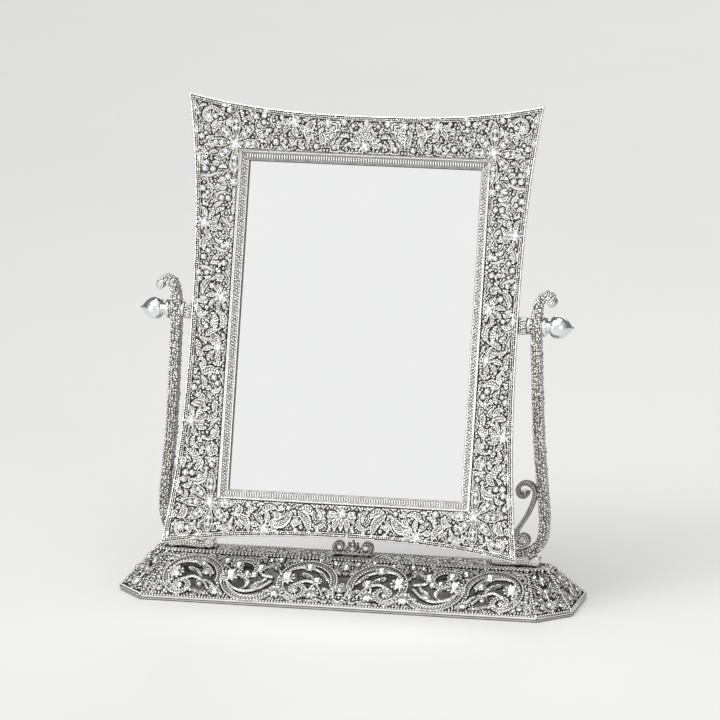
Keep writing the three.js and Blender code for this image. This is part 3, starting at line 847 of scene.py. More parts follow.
def add_stones(name, entries, surface, body):
    """Cups and cut stones on a surface, as one piece each."""
    x, y, h, r = entries.T
    cups, stones = Mesh(), Mesh()
    scatter(cups, CUP, surface, x, y, h + 0.1, r,
            oxide=np.tile([0.9, 0.95, 0.35, 0.0, 0.5], len(CUP[0]) // 5))
    # The stones' facets carry painted reflections.
    scatter(stones, STONE, surface, x, y, h + 0.28, r * 1.04, oxide=STONE_PAINTED_REFLECTION,
            spin=RNG.uniform(0, TAU, len(x)))
    mesh_object(name + "_cups", cups, BEAD_SILVER, body, sharp=50)
    mesh_object(name + "_crystals", stones, CRYSTAL, body, sharp=0)


def add_beads(name, entries, surface, body, oxide=0.0):
    x, y, h, r = entries.T
    beads = Mesh()
    scatter(beads, BEAD, surface, x, y, h, r)
    beads.oxide[-1] = bead_shade(1.1, 0.45, np.broadcast_to(oxide, len(x))[:, None]).ravel()
    mesh_object(name, beads, BEAD_SILVER, body)


# ---------------------------------------------------------------- the band's left half


def frame_filigree():
    """The band's outline and its rim: a plain bright wire, a row of grains and a thin wire."""
    relief = Relief((-141.0, 0.0), (-184.0, 170.0), 0.44)
    X, Y = relief.X, relief.Y
    lean = 0.97
    edges = [top_edge(X) - Y, Y - bottom_edge(X), side_edge(Y) + X]
    relief.inside = np.minimum.reduce(
        [*(edge * lean for edge in edges),
         np.maximum.reduce([-X - TRAY_X - 0.3, Y - TRAY_TOP - 0.3, TRAY_BOTTOM - 0.3 - Y])])
    edge = np.minimum.reduce(edges)
    art = Filigree(relief)
    relief.lift(np.s_[:], 0.9, edge - 1.25)
    relief.lift(np.s_[:], 0.7, np.abs(edge - 3.75) - 0.45)
    v = np.linspace(FRAME_BOTTOM + 3, FRAME_TOP - 3, 160)
    u = np.linspace(-FRAME_HALF + 3.5, 0, 90)
    for x, y in ((-(side_edge(v) - 2.3), v), (u, top_edge(u) - 2.3), (u, bottom_edge(u) + 2.3)):
        art.bead_line(np.stack([x, y], -1), 1.55, 0.72, 0.2)
    return art


def draw_corner(art, x, y, up):
    """Eight-petalled flower where the moulding's corner points, with a C-scroll outside it."""
    for angle, reach in ((90, 24), (45, 19.5), (0, 19), (-90, 24), (-135, 19.5), (180, 21.5),
                         (135, 19)):
        art.petal(x, y, angle * up, reach, 3.5)
    art.stone(x, y, 3.4, 1.0)
    scroll = spiral((x - 20.5, y + 20 * up), 7.5, 3.4, 0.05, up * 0.78 + 0.05, 26)
    art.relief.band(scroll, 1.7, 1.0, taper=0.4)
    art.bead_line(scroll, 1.5, 0.55, 0.7)
    art.stone(x - 21.5, y + 20 * up, 2.0)
    art.stone(x - 16.5, y + 20.2 * up, 1.5)
    for dx, dy, angle in ((-31, 6, 100), (-26, -8, 250), (-12, 28.5, 10), (-30, 24, 120)):
        art.relief.leaf(ray(x + dx, y + dy * up, angle * up, 0, 11, 40 * up), 2.3, 0.9)


def draw_sides(art):
    """Flowers, stones and slits of the side, as the photograph shows them."""
    for y in (68, -86):
        art.flower(-122, y, 3.3, 2.2,
                   [(88, 12.5), (48, 13.5), (12, 13), (-38, 13), (-80, 12.5), (-15, 10)])
    art.flower(-105, 11, 2.7, 2.1, [(120, 11), (165, 13), (205, 13), (245, 12), (100, 10)])
    art.bead_ring(-105, 11, 4.1, 7, 0.9, 1.15)
    art.flower(-105, -29, 2.8, 2.2, [(92, 12), (130, 13), (175, 13.5), (215, 13), (262, 12)])
    art.stones_at((
        (-123, 114, 1.5), (-124, 109, 1.8), (-118, 109, 1.7), (-106, 104, 1.8), (-101.5, 100, 2.0),
        (-125, 94, 1.7), (-121, 91, 1.4), (-110, 87, 1.7), (-105, 87, 1.6), (-103, 51, 2.0),
        (-107, 50, 1.5), (-118, 46, 1.5), (-121, 41, 1.7), (-105, 37, 1.7), (-124, 29, 1.7),
        (-118, 29, 1.5), (-123, 24, 1.5), (-113, 19, 1.7), (-107, -52, 1.7), (-104, -56, 1.6),
        (-122, -60, 1.8), (-107, -107, 2.0), (-112, -106.5, 1.3), (-124, -126, 1.9),
        (-119, -126, 1.7), (-125, -131, 1.8), (-127, -141, 1.7), (-104, -119, 1.6),
        (-108, -122, 1.3), (-128, 134, 1.7), (-119, -56, 1.3), (-112, -98, 1.4), (-116, 2, 1.3),
    ), 0.6)
    art.slits((
        [(-129, 104), (-121, 104), (-116, 106), (-111, 108)],
        [(-126, 34), (-120, 33.5), (-115, 31.5), (-112, 29)],
        [(-115, 51), (-111, 48), (-107, 46.5), (-102, 47)],
        [(-123, 99), (-119, 96.5), (-116, 92.5)],
        [(-117, 88.5), (-111, 91.5), (-106, 92.5)], [(-117, 79.5), (-113, 83), (-108, 84)],
        [(-126, 85.5), (-124, 89), (-121, 85.5)], [(-106, 117), (-105, 112), (-101.5, 107)],
        [(-119.5, 113.5), (-116, 115), (-113, 113.5)], [(-110, 73), (-106, 69), (-104.5, 66)],
        [(-111, 61), (-108.5, 58)], [(-105, 42), (-101.5, 40)], [(-104, 32), (-101.5, 28)],
        [(-112, 43), (-115, 39)], [(-126, 19), (-124, 12)],
        [(-127, 127.5), (-122, 128), (-117.5, 125.5)], [(-126, 143.5), (-125.5, 138.5)],
        [(-121, -12), (-121.5, -18)], [(-126, -35), (-124, -42)], [(-101.5, -64), (-101.5, -71)],
        [(-112, -64), (-108, -69)], [(-126, -98), (-124, -105)],
    ), 14, 1.15)
    for line in ([(-101.2, 88), (-101.2, 95)], [(-101.4, 76.5), (-101.2, 82)],
                 [(-101.4, 59), (-101.3, 62)]):
        art.relief.slit(line, 1.35, 0.35)


def draw_top(art):
    art.flower(0, 131.5, 3.0, 2.5,
               [(90, 19), (65, 15), (115, 15), (38, 13), (142, 13), (12, 12), (168, 12)])
    art.flower(-56, 148.5, 2.6, 2.5, [(215, 13), (270, 13), (318, 15), (178, 12)])
    art.bead_ring(-56, 148.5, 4.0, 7, 0.9, 1.1)
    art.leaf([(-20, 150), (-27, 143), (-31, 133)], 4.6, 1.0, veins=2.6, lean=0.8, lobes=4)
    art.leaf([(-40, 150), (-45, 142), (-44, 132)], 3.8, 1.0, veins=1.7)
    art.stones_at((
        (-107, 155, 1.7), (-86, 151, 1.7), (-80, 152, 1.7), (-80, 147, 1.5), (-70, 132, 1.8),
        (-38, 130, 1.6), (-30, 148, 2.0), (-24, 130, 1.5), (-17, 149, 1.8), (-10, 147, 1.2),
        (-66, 151, 1.3), (-12, 133, 1.3), (-75, 141, 1.2),
    ), 0.6)
    art.slits((
        [(-61, 137), (-57, 131), (-52.5, 137)], [(-43, 141), (-42, 138), (-41, 134)],
        [(-39, 146.5), (-35, 149), (-33, 149)], [(-29.5, 142), (-24.5, 146.5)],
        [(-29.5, 137.5), (-24, 141)], [(-28, 131), (-23.5, 136)], [(-17, 130.5), (-13, 134)],
        [(-13, 147), (-10.5, 141)], [(-1, 146), (-0.5, 153)], [(-93, 156), (-90, 154.5)],
        [(-85.5, 146), (-84, 142.5)], [(-75.5, 151), (-74.5, 146)], [(-72, 142.5), (-70.5, 140)],
        [(-80, 133.5), (-77.5, 131)], [(-68, 137), (-64, 134)], [(-6, 141), (-4, 146)],
    ), 12, 1.2)


def draw_bottom(art):
    art.flower(-60, -166.0, 3.2, 2.4, [(150, 13), (112, 15), (72, 15), (35, 14), (5, 13)])
    art.flower(0, -151, 2.8, 2.5,
               [(270, 19), (235, 15), (305, 15), (200, 13), (340, 13), (180, 12)])
    art.leaf([(-55, -161), (-46, -160), (-38, -150)], 4.2, 1.0, veins=1.8)
    art.leaf([(-34, -151), (-27, -157), (-24, -168)], 3.4, 1.0, veins=1.6)
    art.leaf([(-82, -156), (-75, -160), (-71, -169)], 3.2, 0.95, veins=1.6)
    art.stones_at((
        (-73, -148, 1.9), (-92, -147, 1.5), (-87, -148.5, 1.3), (-42, -149, 1.4), (-9, -151, 1.5),
        (-14, -151, 1.2), (-124, -168, 1.6), (-119, -168, 1.6), (-35, -166, 1.5),
        (-31, -163, 1.2), (-86, -166, 1.5), (-18, -165, 1.3), (-49, -168, 1.2),
    ), 0.6)


def swirl(x, y):
    return 2.2 * math.sin(x / 7.0 + 1.3 * math.sin(y / 11.0)) + 2.0 * math.cos(y / 9.0)


def build_frame_band():
    art = frame_filigree()
    draw_corner(art, -101.5, 130.0, 1)
    draw_corner(art, -103.5, -148.0, -1)
    draw_sides(art)
    draw_top(art)
    draw_bottom(art)
    for tries, length, half, pierce, clear in (
            (1400, (9.0, 15.0), (2.3, 3.3), 1.0, 1.2), (1500, (7.0, 10.0), (1.7, 2.4), 0.9, 1.1),
            (1200, (4.5, 7.0), (1.3, 1.8), 0.5, 1.0)):
        fill_leaves(art, (1.5, 0.4), swirl, tries, length, half, pierce, clear)
    fill_grains(art, 5200, ((-138, 0), (-182, 166)), 1.15, 0.14)
    fill_beads(art)
    art.relief.grain_ground()
    art.relief.soften()
    whole = art.relief.mirrored()
    x, y = ((v[:-1, :-1] + v[1:, 1:]) / 2 for v in (whole.X, whole.Y))
    beside = (y <= TRAY_TOP) & (y >= TRAY_BOTTOM)
    for word, region in (("top", y > TRAY_TOP), ("bottom", y < TRAY_BOTTOM),
                         ("left", (x < 0) & beside), ("right", (x > 0) & beside)):
        piece = whole.solid(Mesh(), band_surface, BAND_THICKNESS, region, jitter=0.03)
        mesh_object(f"frame_band_{word}", piece, ANTIQUE, "mirror", ("mirror_frame",), sharp=48)
    beads = mirrored_list(art.beads)
    add_beads("frame_beads_left", beads[beads[:, 0] < 0], band_surface, "mirror")
    add_beads("frame_beads_right", beads[beads[:, 0] >= 0], band_surface, "mirror")
    add_stones("frame", mirrored_list(art.stones), band_surface, "mirror")


# ---------------------------------------------------------------- moulding round the glass

MOULD = [(0.0, -1.5), (0.0, -0.2), (0.3, 0.45), (0.8, 0.6), (1.2, 0.25), (3.6, 1.3), (6.0, 2.35),
         (6.2, 3.2), (6.5, 3.75), (7.0, 3.95), (7.5, 3.9), (7.85, 3.5), (8.0, 3.0), (8.0, -8.0),
         (3.5, -8.0), (3.5, -1.5)]
# Oxide along the profile, with the inner wall beside the glass painted dark as a shadow line.
MOULD_OXIDE_AND_EDGE_SHADE = [1, 1, 0.8, 0.3, 0.5, 0.75, 0.6, 0.05, 0, 0, 0, 0.1, 0.6, 0.5, 0.4, 0.4]


def mitred_ring(profile):
    """Rectangular ring round the sight opening; profile of (distance out, height) points."""
    out, h = np.array(profile).T
    x, top, bottom = SIGHT_X + out, SIGHT_TOP + out, SIGHT_BOTTOM - out
    rings = [mirror_plane(*corner, h) for corner in ((-x, bottom), (x, bottom), (x, top),
                                                     (-x, top), (-x, bottom))]
    t = np.linspace(0, 1, 40, endpoint=False)[:, None, None]
    points = np.concatenate([a + (b - a) * t for a, b in zip(rings[:-1], rings[1:])])
    return points.reshape(-1, 3), [ring_faces(*points.shape[:2])[:, ::-1]]


def mould_floor(out):
    return np.interp(out, [p[0] for p in MOULD[:12]], [p[1] for p in MOULD[:12]])


def add_wire(mesh, line, radius, h):
    """Round wire along a line on the mirror's plane."""
    line = np.asarray(line, float)
    turn = np.arange(8) / 8 * TAU
    rings = [mirror_plane(*(p[:, None] + n[:, None] * radius * np.cos(turn)),
                          h - radius * np.sin(turn)) for p, n in zip(line, normals_2d(line))]
    mesh.add(*closed_loft(np.array(rings)))


def build_moulding():
    """Rows of grains between two wires on the upright sides; a ladder of bars on the others."""
    points, faces = mitred_ring(MOULD)
    # The ring's inner wall carries a painted shadow line.
    ring = Mesh().add(points, faces, np.tile(MOULD_OXIDE_AND_EDGE_SHADE, len(points) // len(MOULD)))
    mesh_object("moulding_ring", ring, SOFT, "mirror", ("glass_moulding",), sharp=35)
    rows = Mesh()
    shade = bead_shade(0.9, 0.3)
    for out in (2.1, 3.6, 5.0):
        v = np.arange(SIGHT_BOTTOM - out, SIGHT_TOP + out, 2.3)
        for sign in (-1, 1):
            jitter = RNG.uniform(-0.45, 0.45, (2, len(v)))
            scatter(rows, BEAD, mirror_plane, sign * (SIGHT_X + out) + 0.5 * jitter[0],
                    v + jitter[1], mould_floor(out) + 0.2, RNG.uniform(0.75, 1.05, len(v)), shade)
    for out in (0.95, 6.2, 7.3):
        for x in (-SIGHT_X - out, SIGHT_X + out):
            add_wire(rows, [(x, SIGHT_BOTTOM - out), (x, SIGHT_TOP + out)], 0.42,
                     mould_floor(out) + 0.3)
    bars = np.arange(-SIGHT_X - 1.6, SIGHT_X + 1.7, 1.95)
    bar = (BAR[0] * [0.66, 2.35, 1.2], BAR[1])
    u = np.arange(-SIGHT_X - 7, SIGHT_X + 7, 1.9)
    for edge, sign in ((SIGHT_TOP, 1), (SIGHT_BOTTOM, -1)):
        scatter(rows, bar, mirror_plane, bars, edge + sign * 3.7, mould_floor(3.7) + 0.25, 1.0,
                bead_shade(1.2, 0.3, template=BAR))
        scatter(rows, BEAD, mirror_plane, u + RNG.uniform(-0.3, 0.3, len(u)), edge + sign * 7.0,
                3.75, RNG.uniform(0.6, 0.9, len(u)), shade)
    mesh_object("moulding_grains", rows, BEAD_SILVER, "mirror", sharp=70)


# ---------------------------------------------------------------- CAD nodes that stay, screws


def cad_finish(node, material, bevel=0.0, segments=2):
    """Keeps a CAD node, gives it a finish and eases its edges."""
    piece = frame["nodes"][node]
    piece.data.materials.clear()
    piece.data.materials.append(material)
    if bevel:
        ease = piece.modifiers.new("ease", "BEVEL")
        ease.width = bevel * MM
        ease.segments = segments
        ease.limit_method = "ANGLE"
        ease.angle_limit = math.radians(40)


def add_cross(mesh, seat, axes, angle, reach, half, heights):
    """The dark cross in a screw's head: two boxes between two heights along the last axis."""
    for a in (angle, angle + TAU / 4):
        along = axes[0] * math.cos(a) + axes[1] * math.sin(a)
        across = axes[1] * math.cos(a) - axes[0] * math.sin(a)
        corners = ((-reach, -half), (reach, -half), (reach, half), (-reach, half))
        mesh.add([seat + axes[2] * z + along * p + across * q for z in heights
                  for p, q in corners], box_faces(heights[1] > heights[0]), 1.0)


def threaded(radius, depth, low, high):
    """Profile of a thread, as rings of two radii."""
    return [(radius + depth * (k % 2), s) for k, s in enumerate(np.arange(low, high, 0.35))]


def build_back():
    """Back plate with a pressed border, and its screws."""
    margin = MOULDING - 0.4
    relief = Relief((-SIGHT_X - margin - 1, SIGHT_X + margin + 1),
                    (SIGHT_BOTTOM - margin - 1, SIGHT_TOP + margin + 1), 1.6)
    X, Y = relief.X, relief.Y
    inset = np.minimum.reduce([SIGHT_X + margin - np.abs(X), SIGHT_TOP + margin - Y,
                               Y - SIGHT_BOTTOM + margin])
    relief.inside = np.minimum(inset, 9)
    borders = (0.55 * np.exp(-((inset - 14) / 1.6)**2)
               + 0.25 * np.exp(-((inset - 19) / 1.3)**2))
    relief.height = borders - 0.25 * np.clip(1 - inset / 1.5, 0, 1)
    plate = relief.solid(Mesh(), flat_surface(PIVOT - 9.4 * OUT, -RIGHT, UP), 1.1, oxide=0 * X)
    mesh_object("back_sheet", plate, BACK, "mirror", ("back_plate",), sharp=40)
    screws = Mesh()
    nodes = [f"back_screw_{k + 1}" for k in range(8)]
    profile = [(0.01, -5.0), (0.85, -4.6), (0.85, -0.02), (1.9, 0), (1.9, 0.35), (1.6, 0.8),
               (1.0, 1.05), (0.3, 1.1), (0.01, 1.1)]
    for node in nodes:
        centre = sum(cad_box(node)) / 2
        seat = centre - OUT * (np.dot(centre - PIVOT, OUT) + 9.6)
        screws.add(*lathe(profile, -OUT, seat, 20))
        add_cross(screws, seat, (RIGHT, UP, OUT), RNG.uniform(0, TAU), 1.1, 0.17, (-0.98, -1.16))
    mesh_object("back_screw_heads", screws, STEEL, "mirror", nodes, sharp=40)


def build_hidden_screws():
    """Screws up into the crest, the posts and the pillars of the base."""
    nodes = ["crest_screw", "post_screw_left", "post_screw_right",
             *[f"base_screw_{k + 1}" for k in range(4)]]
    screws = Mesh()
    for node in nodes:
        low, high = cad_box(node)
        x, y, foot = (low[0] + high[0]) / 2, (low[1] + high[1]) / 2, low[2]
        profile = [(0.01, foot), (1.5, foot), (2.3, foot + 0.2), (2.7, foot + 0.7),
                   (2.7, foot + 1.1), (1.4, foot + 1.1),
                   *threaded(1.28, 0.14, foot + 1.4, high[2] - 0.6),
                   (0.8, high[2] - 0.1), (0.01, high[2])]
        screws.add(*lathe(profile, (0, 0, 1), (x, y, 0), 20))
        add_cross(screws, np.array([x, y, foot]), np.eye(3), 0.0, 1.3, 0.22, (-0.02, 0.12))
    mesh_object("hidden_screws", screws, STEEL, "stand", nodes, sharp=35)


# ---------------------------------------------------------------- tilt axis

SIDES = ((-1, "left"), (1, "right"))
COLLAR = [(2.4, 128.2), (5.4, 128.2), (6.0, 128.6), (6.2, 131.2), (6.0, 133.8), (5.4, 134.2),
          (2.4, 134.2)]
COLLAR_WASHER = [(2.4, 134.5), (6.0, 134.5), (6.35, 134.8), (6.4, 135.3), (6.4, 136.5),
                 (6.2, 137.0), (5.9, 137.2), (2.4, 137.2)]
KNOB_WASHER = [(2.4, 145.2), (6.4, 145.2), (6.6, 145.4), (6.6, 145.9), (6.4, 146.1), (2.4, 146.1)]
KNOB_START = 146.4
KNOB = [(0.01, 0), (6.6, 0), (7.3, 0.25), (7.75, 0.8), (7.8, 1.4), (7.75, 2.0), (7.3, 2.7),
        (6.5, 3.2), (5.7, 3.6), (5.15, 4.1), (4.95, 4.7), (5.1, 5.2), (5.9, 5.75), (6.8, 6.2),
        (7.7, 7.0), (8.35, 8.1), (8.7, 9.4), (8.8, 10.8), (8.75, 12.2), (8.5, 13.7), (8.05, 15.2),
        (7.4, 16.6), (6.5, 17.9), (5.4, 19.1), (4.3, 20.1), (3.1, 21.0), (2.2, 21.7), (1.6, 22.4),
        (1.2, 23.1), (0.7, 23.7), (0.01, 23.9)]


def build_axis():
    for side, word in SIDES:
        axis = np.array([side, 0.0, 0.0])
        collar = Mesh().add(*lathe(COLLAR, axis, PIVOT, 40, bored=True), oxide=0.85)
        for where, count, size in ((129.1, 20, 0.95), (130.6, 19, 1.1), (132.1, 20, 1.05),
                                   (133.4, 20, 0.85)):
            for k in range(count):
                a = (k + RNG.uniform(-0.2, 0.2)) / count * TAU
                spoke = np.array([0, math.cos(a), math.sin(a)])
                r = size * RNG.uniform(0.85, 1.12)
                ball = [(0.01, -r), (0.9 * r, -0.3 * r), (r, 0.0), (0.75 * r, 0.6 * r),
                        (0.01, 0.95 * r)]
                collar.add(*lathe(ball, spoke, PIVOT + axis * where + spoke * 6.15, 7),
                           oxide=[*np.repeat([0.9, 0.8, 0.4, 0.05, 0.0], 7), 0.9, 0.0])
        mesh_object(f"collar_{word}_beaded", collar, BEAD_SILVER, "mirror", (f"collar_{word}",),
                    sharp=50)
        for node, body, profile in ((f"collar_washer_{word}", "mirror", COLLAR_WASHER),
                                    (f"knob_washer_{word}", "stand", KNOB_WASHER)):
            washer = Mesh().add(*lathe(profile, axis, PIVOT, bored=True))
            mesh_object(node + "_turned", washer, PLAIN, body, (node,), sharp=50)
        knob = Mesh().add(*lathe([(r, h + KNOB_START) for r, h in KNOB], axis, PIVOT, 72))
        mesh_object(f"knob_{word}_acorn", knob, CHROME, f"knob_{word}", (f"knob_{word}",), sharp=60)
        cad_finish(f"pivot_lug_{word}", SOFT, 0.8, 3)
        thread = [(0.01, 113.0), *threaded(1.9, 0.1, 113.0, 160.0), (0.01, 160.0)]
        stud = Mesh().add(*lathe(thread, axis, PIVOT, 24))
        mesh_object(f"pivot_stud_{word}_threaded", stud, STEEL, "mirror", (f"pivot_stud_{word}",),
                    sharp=30)


# ---------------------------------------------------------------- posts, brackets and crest

POST_LINE = [(153.2, 236.2), (152.6, 239.6), (148.6, 241.3), (144.4, 238.4), (142.2, 231.5),
             (141.2, 217.4), (142.1, 188), (144.7, 130), (147.6, 97), (149.9, 72), (149.6, 57),
             (146.4, 47.3), (139.5, 41.6), (130, 38.4), (121, 36.6), (114, 35.2)]
POST_DEEP = 5.15
CREST_FOOT = 30.8


def sweep(line, section, half, side=1):
    """Closed solid along an X-Z line. A section's point (a, y, b) lies a * half + b across."""
    line = np.asarray(line, float)
    rings = [[[side * (p[0] + n[0] * (a * w + b)), y, p[1] + n[1] * (a * w + b)]
              for a, y, b in section]
             for p, n, w in zip(line, normals_2d(line), np.broadcast_to(half, len(line)))]
    verts, faces = closed_loft(np.array(rings))
    return verts, [f[:, ::-1] for f in faces] if side < 0 else faces


def front_and_back(front):
    """A section from its front points."""
    return front + [(a, -y, b) for a, y, b in front[::-1]]


def cut_section(y, deep, cut):
    return front_and_back([(-1, -y, 0), (-1, -deep, cut), (1, -deep, -cut), (1, -y, 0)])


def ribbon_side(line, half, way, side):
    """One edge face of a standing ribbon: x runs along it and y through its depth."""
    normal = normals_2d(line) * way
    edge = line + normal * half[:, None]
    run = run_along(edge)

    def surface(x, y, h):
        x, y, h = arrays(x, y, h)
        px, pz = (np.interp(x, run, edge[:, k]) + h * np.interp(x, run, normal[:, k])
                  for k in (0, 1))
        return np.stack([side * px, y * way * side, pz], -1)

    return surface, run[-1]


def roll(x, z, side, upper, segments=36):
    """Turned solid whose axis is +Y, from the upper half of its profile."""
    return lathe(both_ways(upper), (0, 1, 0), (side * x, 0, z), segments)


def standing_face(way, depth):
    """The front (way 1) or back (way -1) of a standing piece."""
    return flat_surface((0, -way * depth, 0), (way, 0, 0), (0, 0, 1))


def face_grains(mesh, places, side, way, depth, h, radius, template=BEAD):
    """Grains on the front or back of a standing piece; places are those of the right-hand one."""
    scatter(mesh, template, standing_face(way, depth), side * way * places[:, 0], places[:, 1], h,
            radius, bead_shade(1.1, 0.45, template=template))


def build_posts():
    line = evenly(smooth_curve(POST_LINE, 400), 1.6)
    half = 2.5 + (3.6 - 2.5) * np.minimum(np.linspace(0, 1, len(line)) / 0.12, 1)
    foot = smooth_curve([(116, 33.2), (122, 33.6), (130, 34.6), (138, 34.4), (142, 33.6)], 24)
    foot_half = np.interp(np.linspace(0, 1, 24), [0, 0.5, 1], [2.2, 3.4, 2.6])
    top_roll = [(3.4, 4.4), (3.3, 5.0), (2.9, 5.7), (2.2, 6), (0.01, 6)]
    for side, word in SIDES:
        post = Mesh().add(*sweep(line, cut_section(4.7, POST_DEEP, 0.4), half, side), 0.72)
        post.add(*roll(153.4, 236.8, side, top_roll), 0.45)
        for x, z, r in ((143.8, 34.7, 3.9), (113.5, 34.8, 4.0)):
            end = [(r, 0), (r - 0.1, 4.9), (r - 0.7, 5.5), (0.01, 5.5)]
            post.add(*roll(x, z, side, end), 0.15)
        post.add(*sweep(foot, cut_section(4.6, 5.2, 0.5), foot_half, side), 0.35)
        mesh_object(f"post_{word}_ribbon", post, ANTIQUE, "stand", (f"post_{word}",), sharp=35)
        beads = Mesh()
        for way in (1, -1):
            for across in (-0.93, -0.31, 0.31, 0.93):
                row = evenly(offset_line(line[2:-1], across * (half[2:-1] - 0.45)), 1.95)
                row = row + RNG.uniform(-0.5, 0.5, row.shape)
                face_grains(beads, row, side, way, POST_DEEP, 0.05, RNG.uniform(0.6, 1.2, len(row)))
            for across in (-1.6, 0.0, 1.6):
                row = evenly(offset_line(foot, across), 2.0)[1:-1]
                face_grains(beads, row, side, way, POST_DEEP, 0.1, RNG.uniform(0.8, 1.1, len(row)))
            for x, z, distance, depth in ((153.4, 236.8, 2.0, 5.9), (113.5, 34.8, 2.3, 5.4),
                                          (143.8, 34.7, 2.3, 5.4)):
                face_grains(beads, circle(x, z, distance, 12), side, way, depth, 0.0, 0.6)
                face_grains(beads, np.array([[x, z]]), side, way, depth, 0.0, 1.3, BOSS)
        for way in (-1, 1):
            surface, run = ribbon_side(line, half, way, side)
            x = np.arange(3.0, run - 1.5, 2.0)
            for y in (-4.0, -2.0, 0.0, 2.0, 4.0):
                jitter = RNG.uniform(-0.55, 0.55, (2, len(x)))
                scatter(beads, BEAD, surface, x + jitter[0], y + jitter[1], -0.4,
                        RNG.uniform(0.6, 1.05, len(x)), bead_shade(1.3, 0.6))
        mesh_object(f"post_{word}_grains", beads, BEAD_SILVER, "stand")


def build_brackets():
    upper = spiral((134.2, 88.6), 8.5, 2, -0.048, 1.025, 44)[::-1]
    diagonal = smooth_curve([(141.4, 82), (137.6, 72.5), (132, 63), (127.8, 56.5)], 18)[:-1]
    lower = spiral((133, 51), 6.1, 2.2, 0.56, 1.475, 40)
    line = evenly(smooth_curve(np.vstack([upper, diagonal, lower]), 300), 1.0)
    half = 1.45 + 0.3 * np.sin(math.pi * np.linspace(0, 1, len(line)))
    section = front_and_back([(-1, -3.6, 0), (-0.8, -4.0, 0), (-0.45, -4.0, 0), (-0.2, -3.2, 0),
                              (0.2, -3.2, 0), (0.45, -4.0, 0), (0.8, -4.0, 0), (1, -3.6, 0)])
    tone = np.array([0.55, 0.1, 0.05, 1, 1, 0.05, 0.1, 0.55] * 2)
    tone = (tone + 0.25 * (np.arange(len(line)) % 2)[:, None]).ravel()
    for side, word in SIDES:
        scroll = Mesh().add(*sweep(line, section, half, side), [*tone, 0.5, 0.5])
        for x, z in ((134.2, 88.6), (132.9, 51.2)):
            scroll.add(*roll(x, z, side, [(1.7, 3.5), (0.9, 4.2), (0.01, 4.2)], 24), 0.3)
        mesh_object(f"scroll_bracket_{word}_band", scroll, ANTIQUE, "stand",
                    (f"scroll_bracket_{word}",), sharp=35)
        grains = Mesh()
        for way in (1, -1):
            face_grains(grains, evenly(line[2:-2], 1.9), side, way, 3.2, 0.0, 0.7)
        mesh_object(f"scroll_bracket_{word}_grains", grains, BEAD_SILVER, "stand")


def crest_petal(angle, reach, wide):
    """Petal of the crest's fan, with a hollow each side of its midrib; and its spine."""
    spine = ray(0, CREST_FOOT + 0.6, angle, 0, reach, bend=8 * np.sign(90 - angle), count=14)
    t = np.linspace(0, 1, 14)
    half = wide * np.sin(math.pi * np.clip(t, 0.06, 0.97)**0.8) + 0.15
    depth = 0.6 + 2.2 * np.sin(math.pi * np.clip(t, 0.05, 0.97))
    section = ((-1, 0), (-0.55, -0.75), (-0.15, -0.55), (0, -1), (0.15, -0.55), (0.55, -0.75),
               (1, 0), (0.55, 0.75), (0.15, 0.55), (0, 1), (-0.15, 0.55), (-0.55, 0.75))
    rings = [[[p[0] + n[0] * a * w, y * d, p[1] + n[1] * a * w] for a, y in section]
             for p, n, w, d in zip(spine, normals_2d(spine), half, depth)]
    return closed_loft(np.array(rings)), spine


def build_crest():
    crest, grains = Mesh(), Mesh()
    section = front_and_back([(-1, -2.6, 0), (-0.5, -3.0, 0), (0.5, -3.0, 0), (1, -2.6, 0)])

    def both_faces(places, side, depth, radius):
        for way in (1, -1):
            face_grains(grains, places, side, way, depth, 0.0, radius)

    for side in (-1, 1):
        line = evenly(spiral((10.6, CREST_FOOT + 6.6), 5.2, 1.6, -0.375, 0.85, 60), 0.9)
        crest.add(*sweep(line, section, np.linspace(1.5, 1.0, len(line)), side), 0.65)
        crest.add(*roll(10.5, CREST_FOOT + 6.4, side, [(2.2, 2.6), (1.6, 3.2), (0.01, 3.2)], 20),
                  0.1)
        both_faces(evenly(line, 1.3), side, 2.95, 0.75)
    for angle, reach, wide in ((90, 11.8, 3.0), (62, 10.6, 2.7), (118, 10.6, 2.7), (33, 8.2, 2.3),
                               (147, 8.2, 2.3)):
        petal, spine = crest_petal(angle, reach, wide)
        crest.add(*petal, 0.45)
        both_faces(spine[3:-2:2], 1, 2.3, 0.85)
    bar = [(x, CREST_FOOT + 1.2) for x in (-15, -5, 5, 15)]
    crest.add(*sweep(bar, section, 1.2), 0.3)
    row = np.stack([np.arange(-14, 14.1, 1.55), np.full(19, CREST_FOOT + 1.3)], -1)
    both_faces(row, 1, 2.95, 0.72)
    mesh_object("crest_scrolls", crest, ANTIQUE, "stand", ("crest",), sharp=40)
    mesh_object("crest_grains", grains, BEAD_SILVER, "stand")
    stones = np.array([(0, CREST_FOOT + 5.6, 2.3, 1.7), (0, CREST_FOOT + 9.0, 1.8, 1.1)])
    add_stones("crest", stones, standing_face(1, 0.6), "stand")


# ---------------------------------------------------------------- base

HALF_X, HALF_Y, CORNER = 178.0, 59.5, (22.7, 28.0)
TOP_X, TOP_Y, TOP_CORNER = 154.0, 14.0, (15.0, 6.0)
LIP, TOP_Z = 3.5, 30.5
SCROLL_LIFT = 1.5
LEAF_LIFT = 1.3


def octagon(x, y, corner, z):
    """A rectangle with cut corners, anticlockwise from its front right."""
    cx, cy = corner
    ring = [(x - cx, -y), (x, cy - y), (x, y - cy), (x - cx, y), (cx - x, y), (-x, y - cy),
            (-x, cy - y), (cx - x, -y)]
    return np.array([(*p, z) for p in ring], float)


LOW = octagon(HALF_X, HALF_Y, CORNER, LIP)
HIGH = octagon(TOP_X, TOP_Y, TOP_CORNER, TOP_Z)


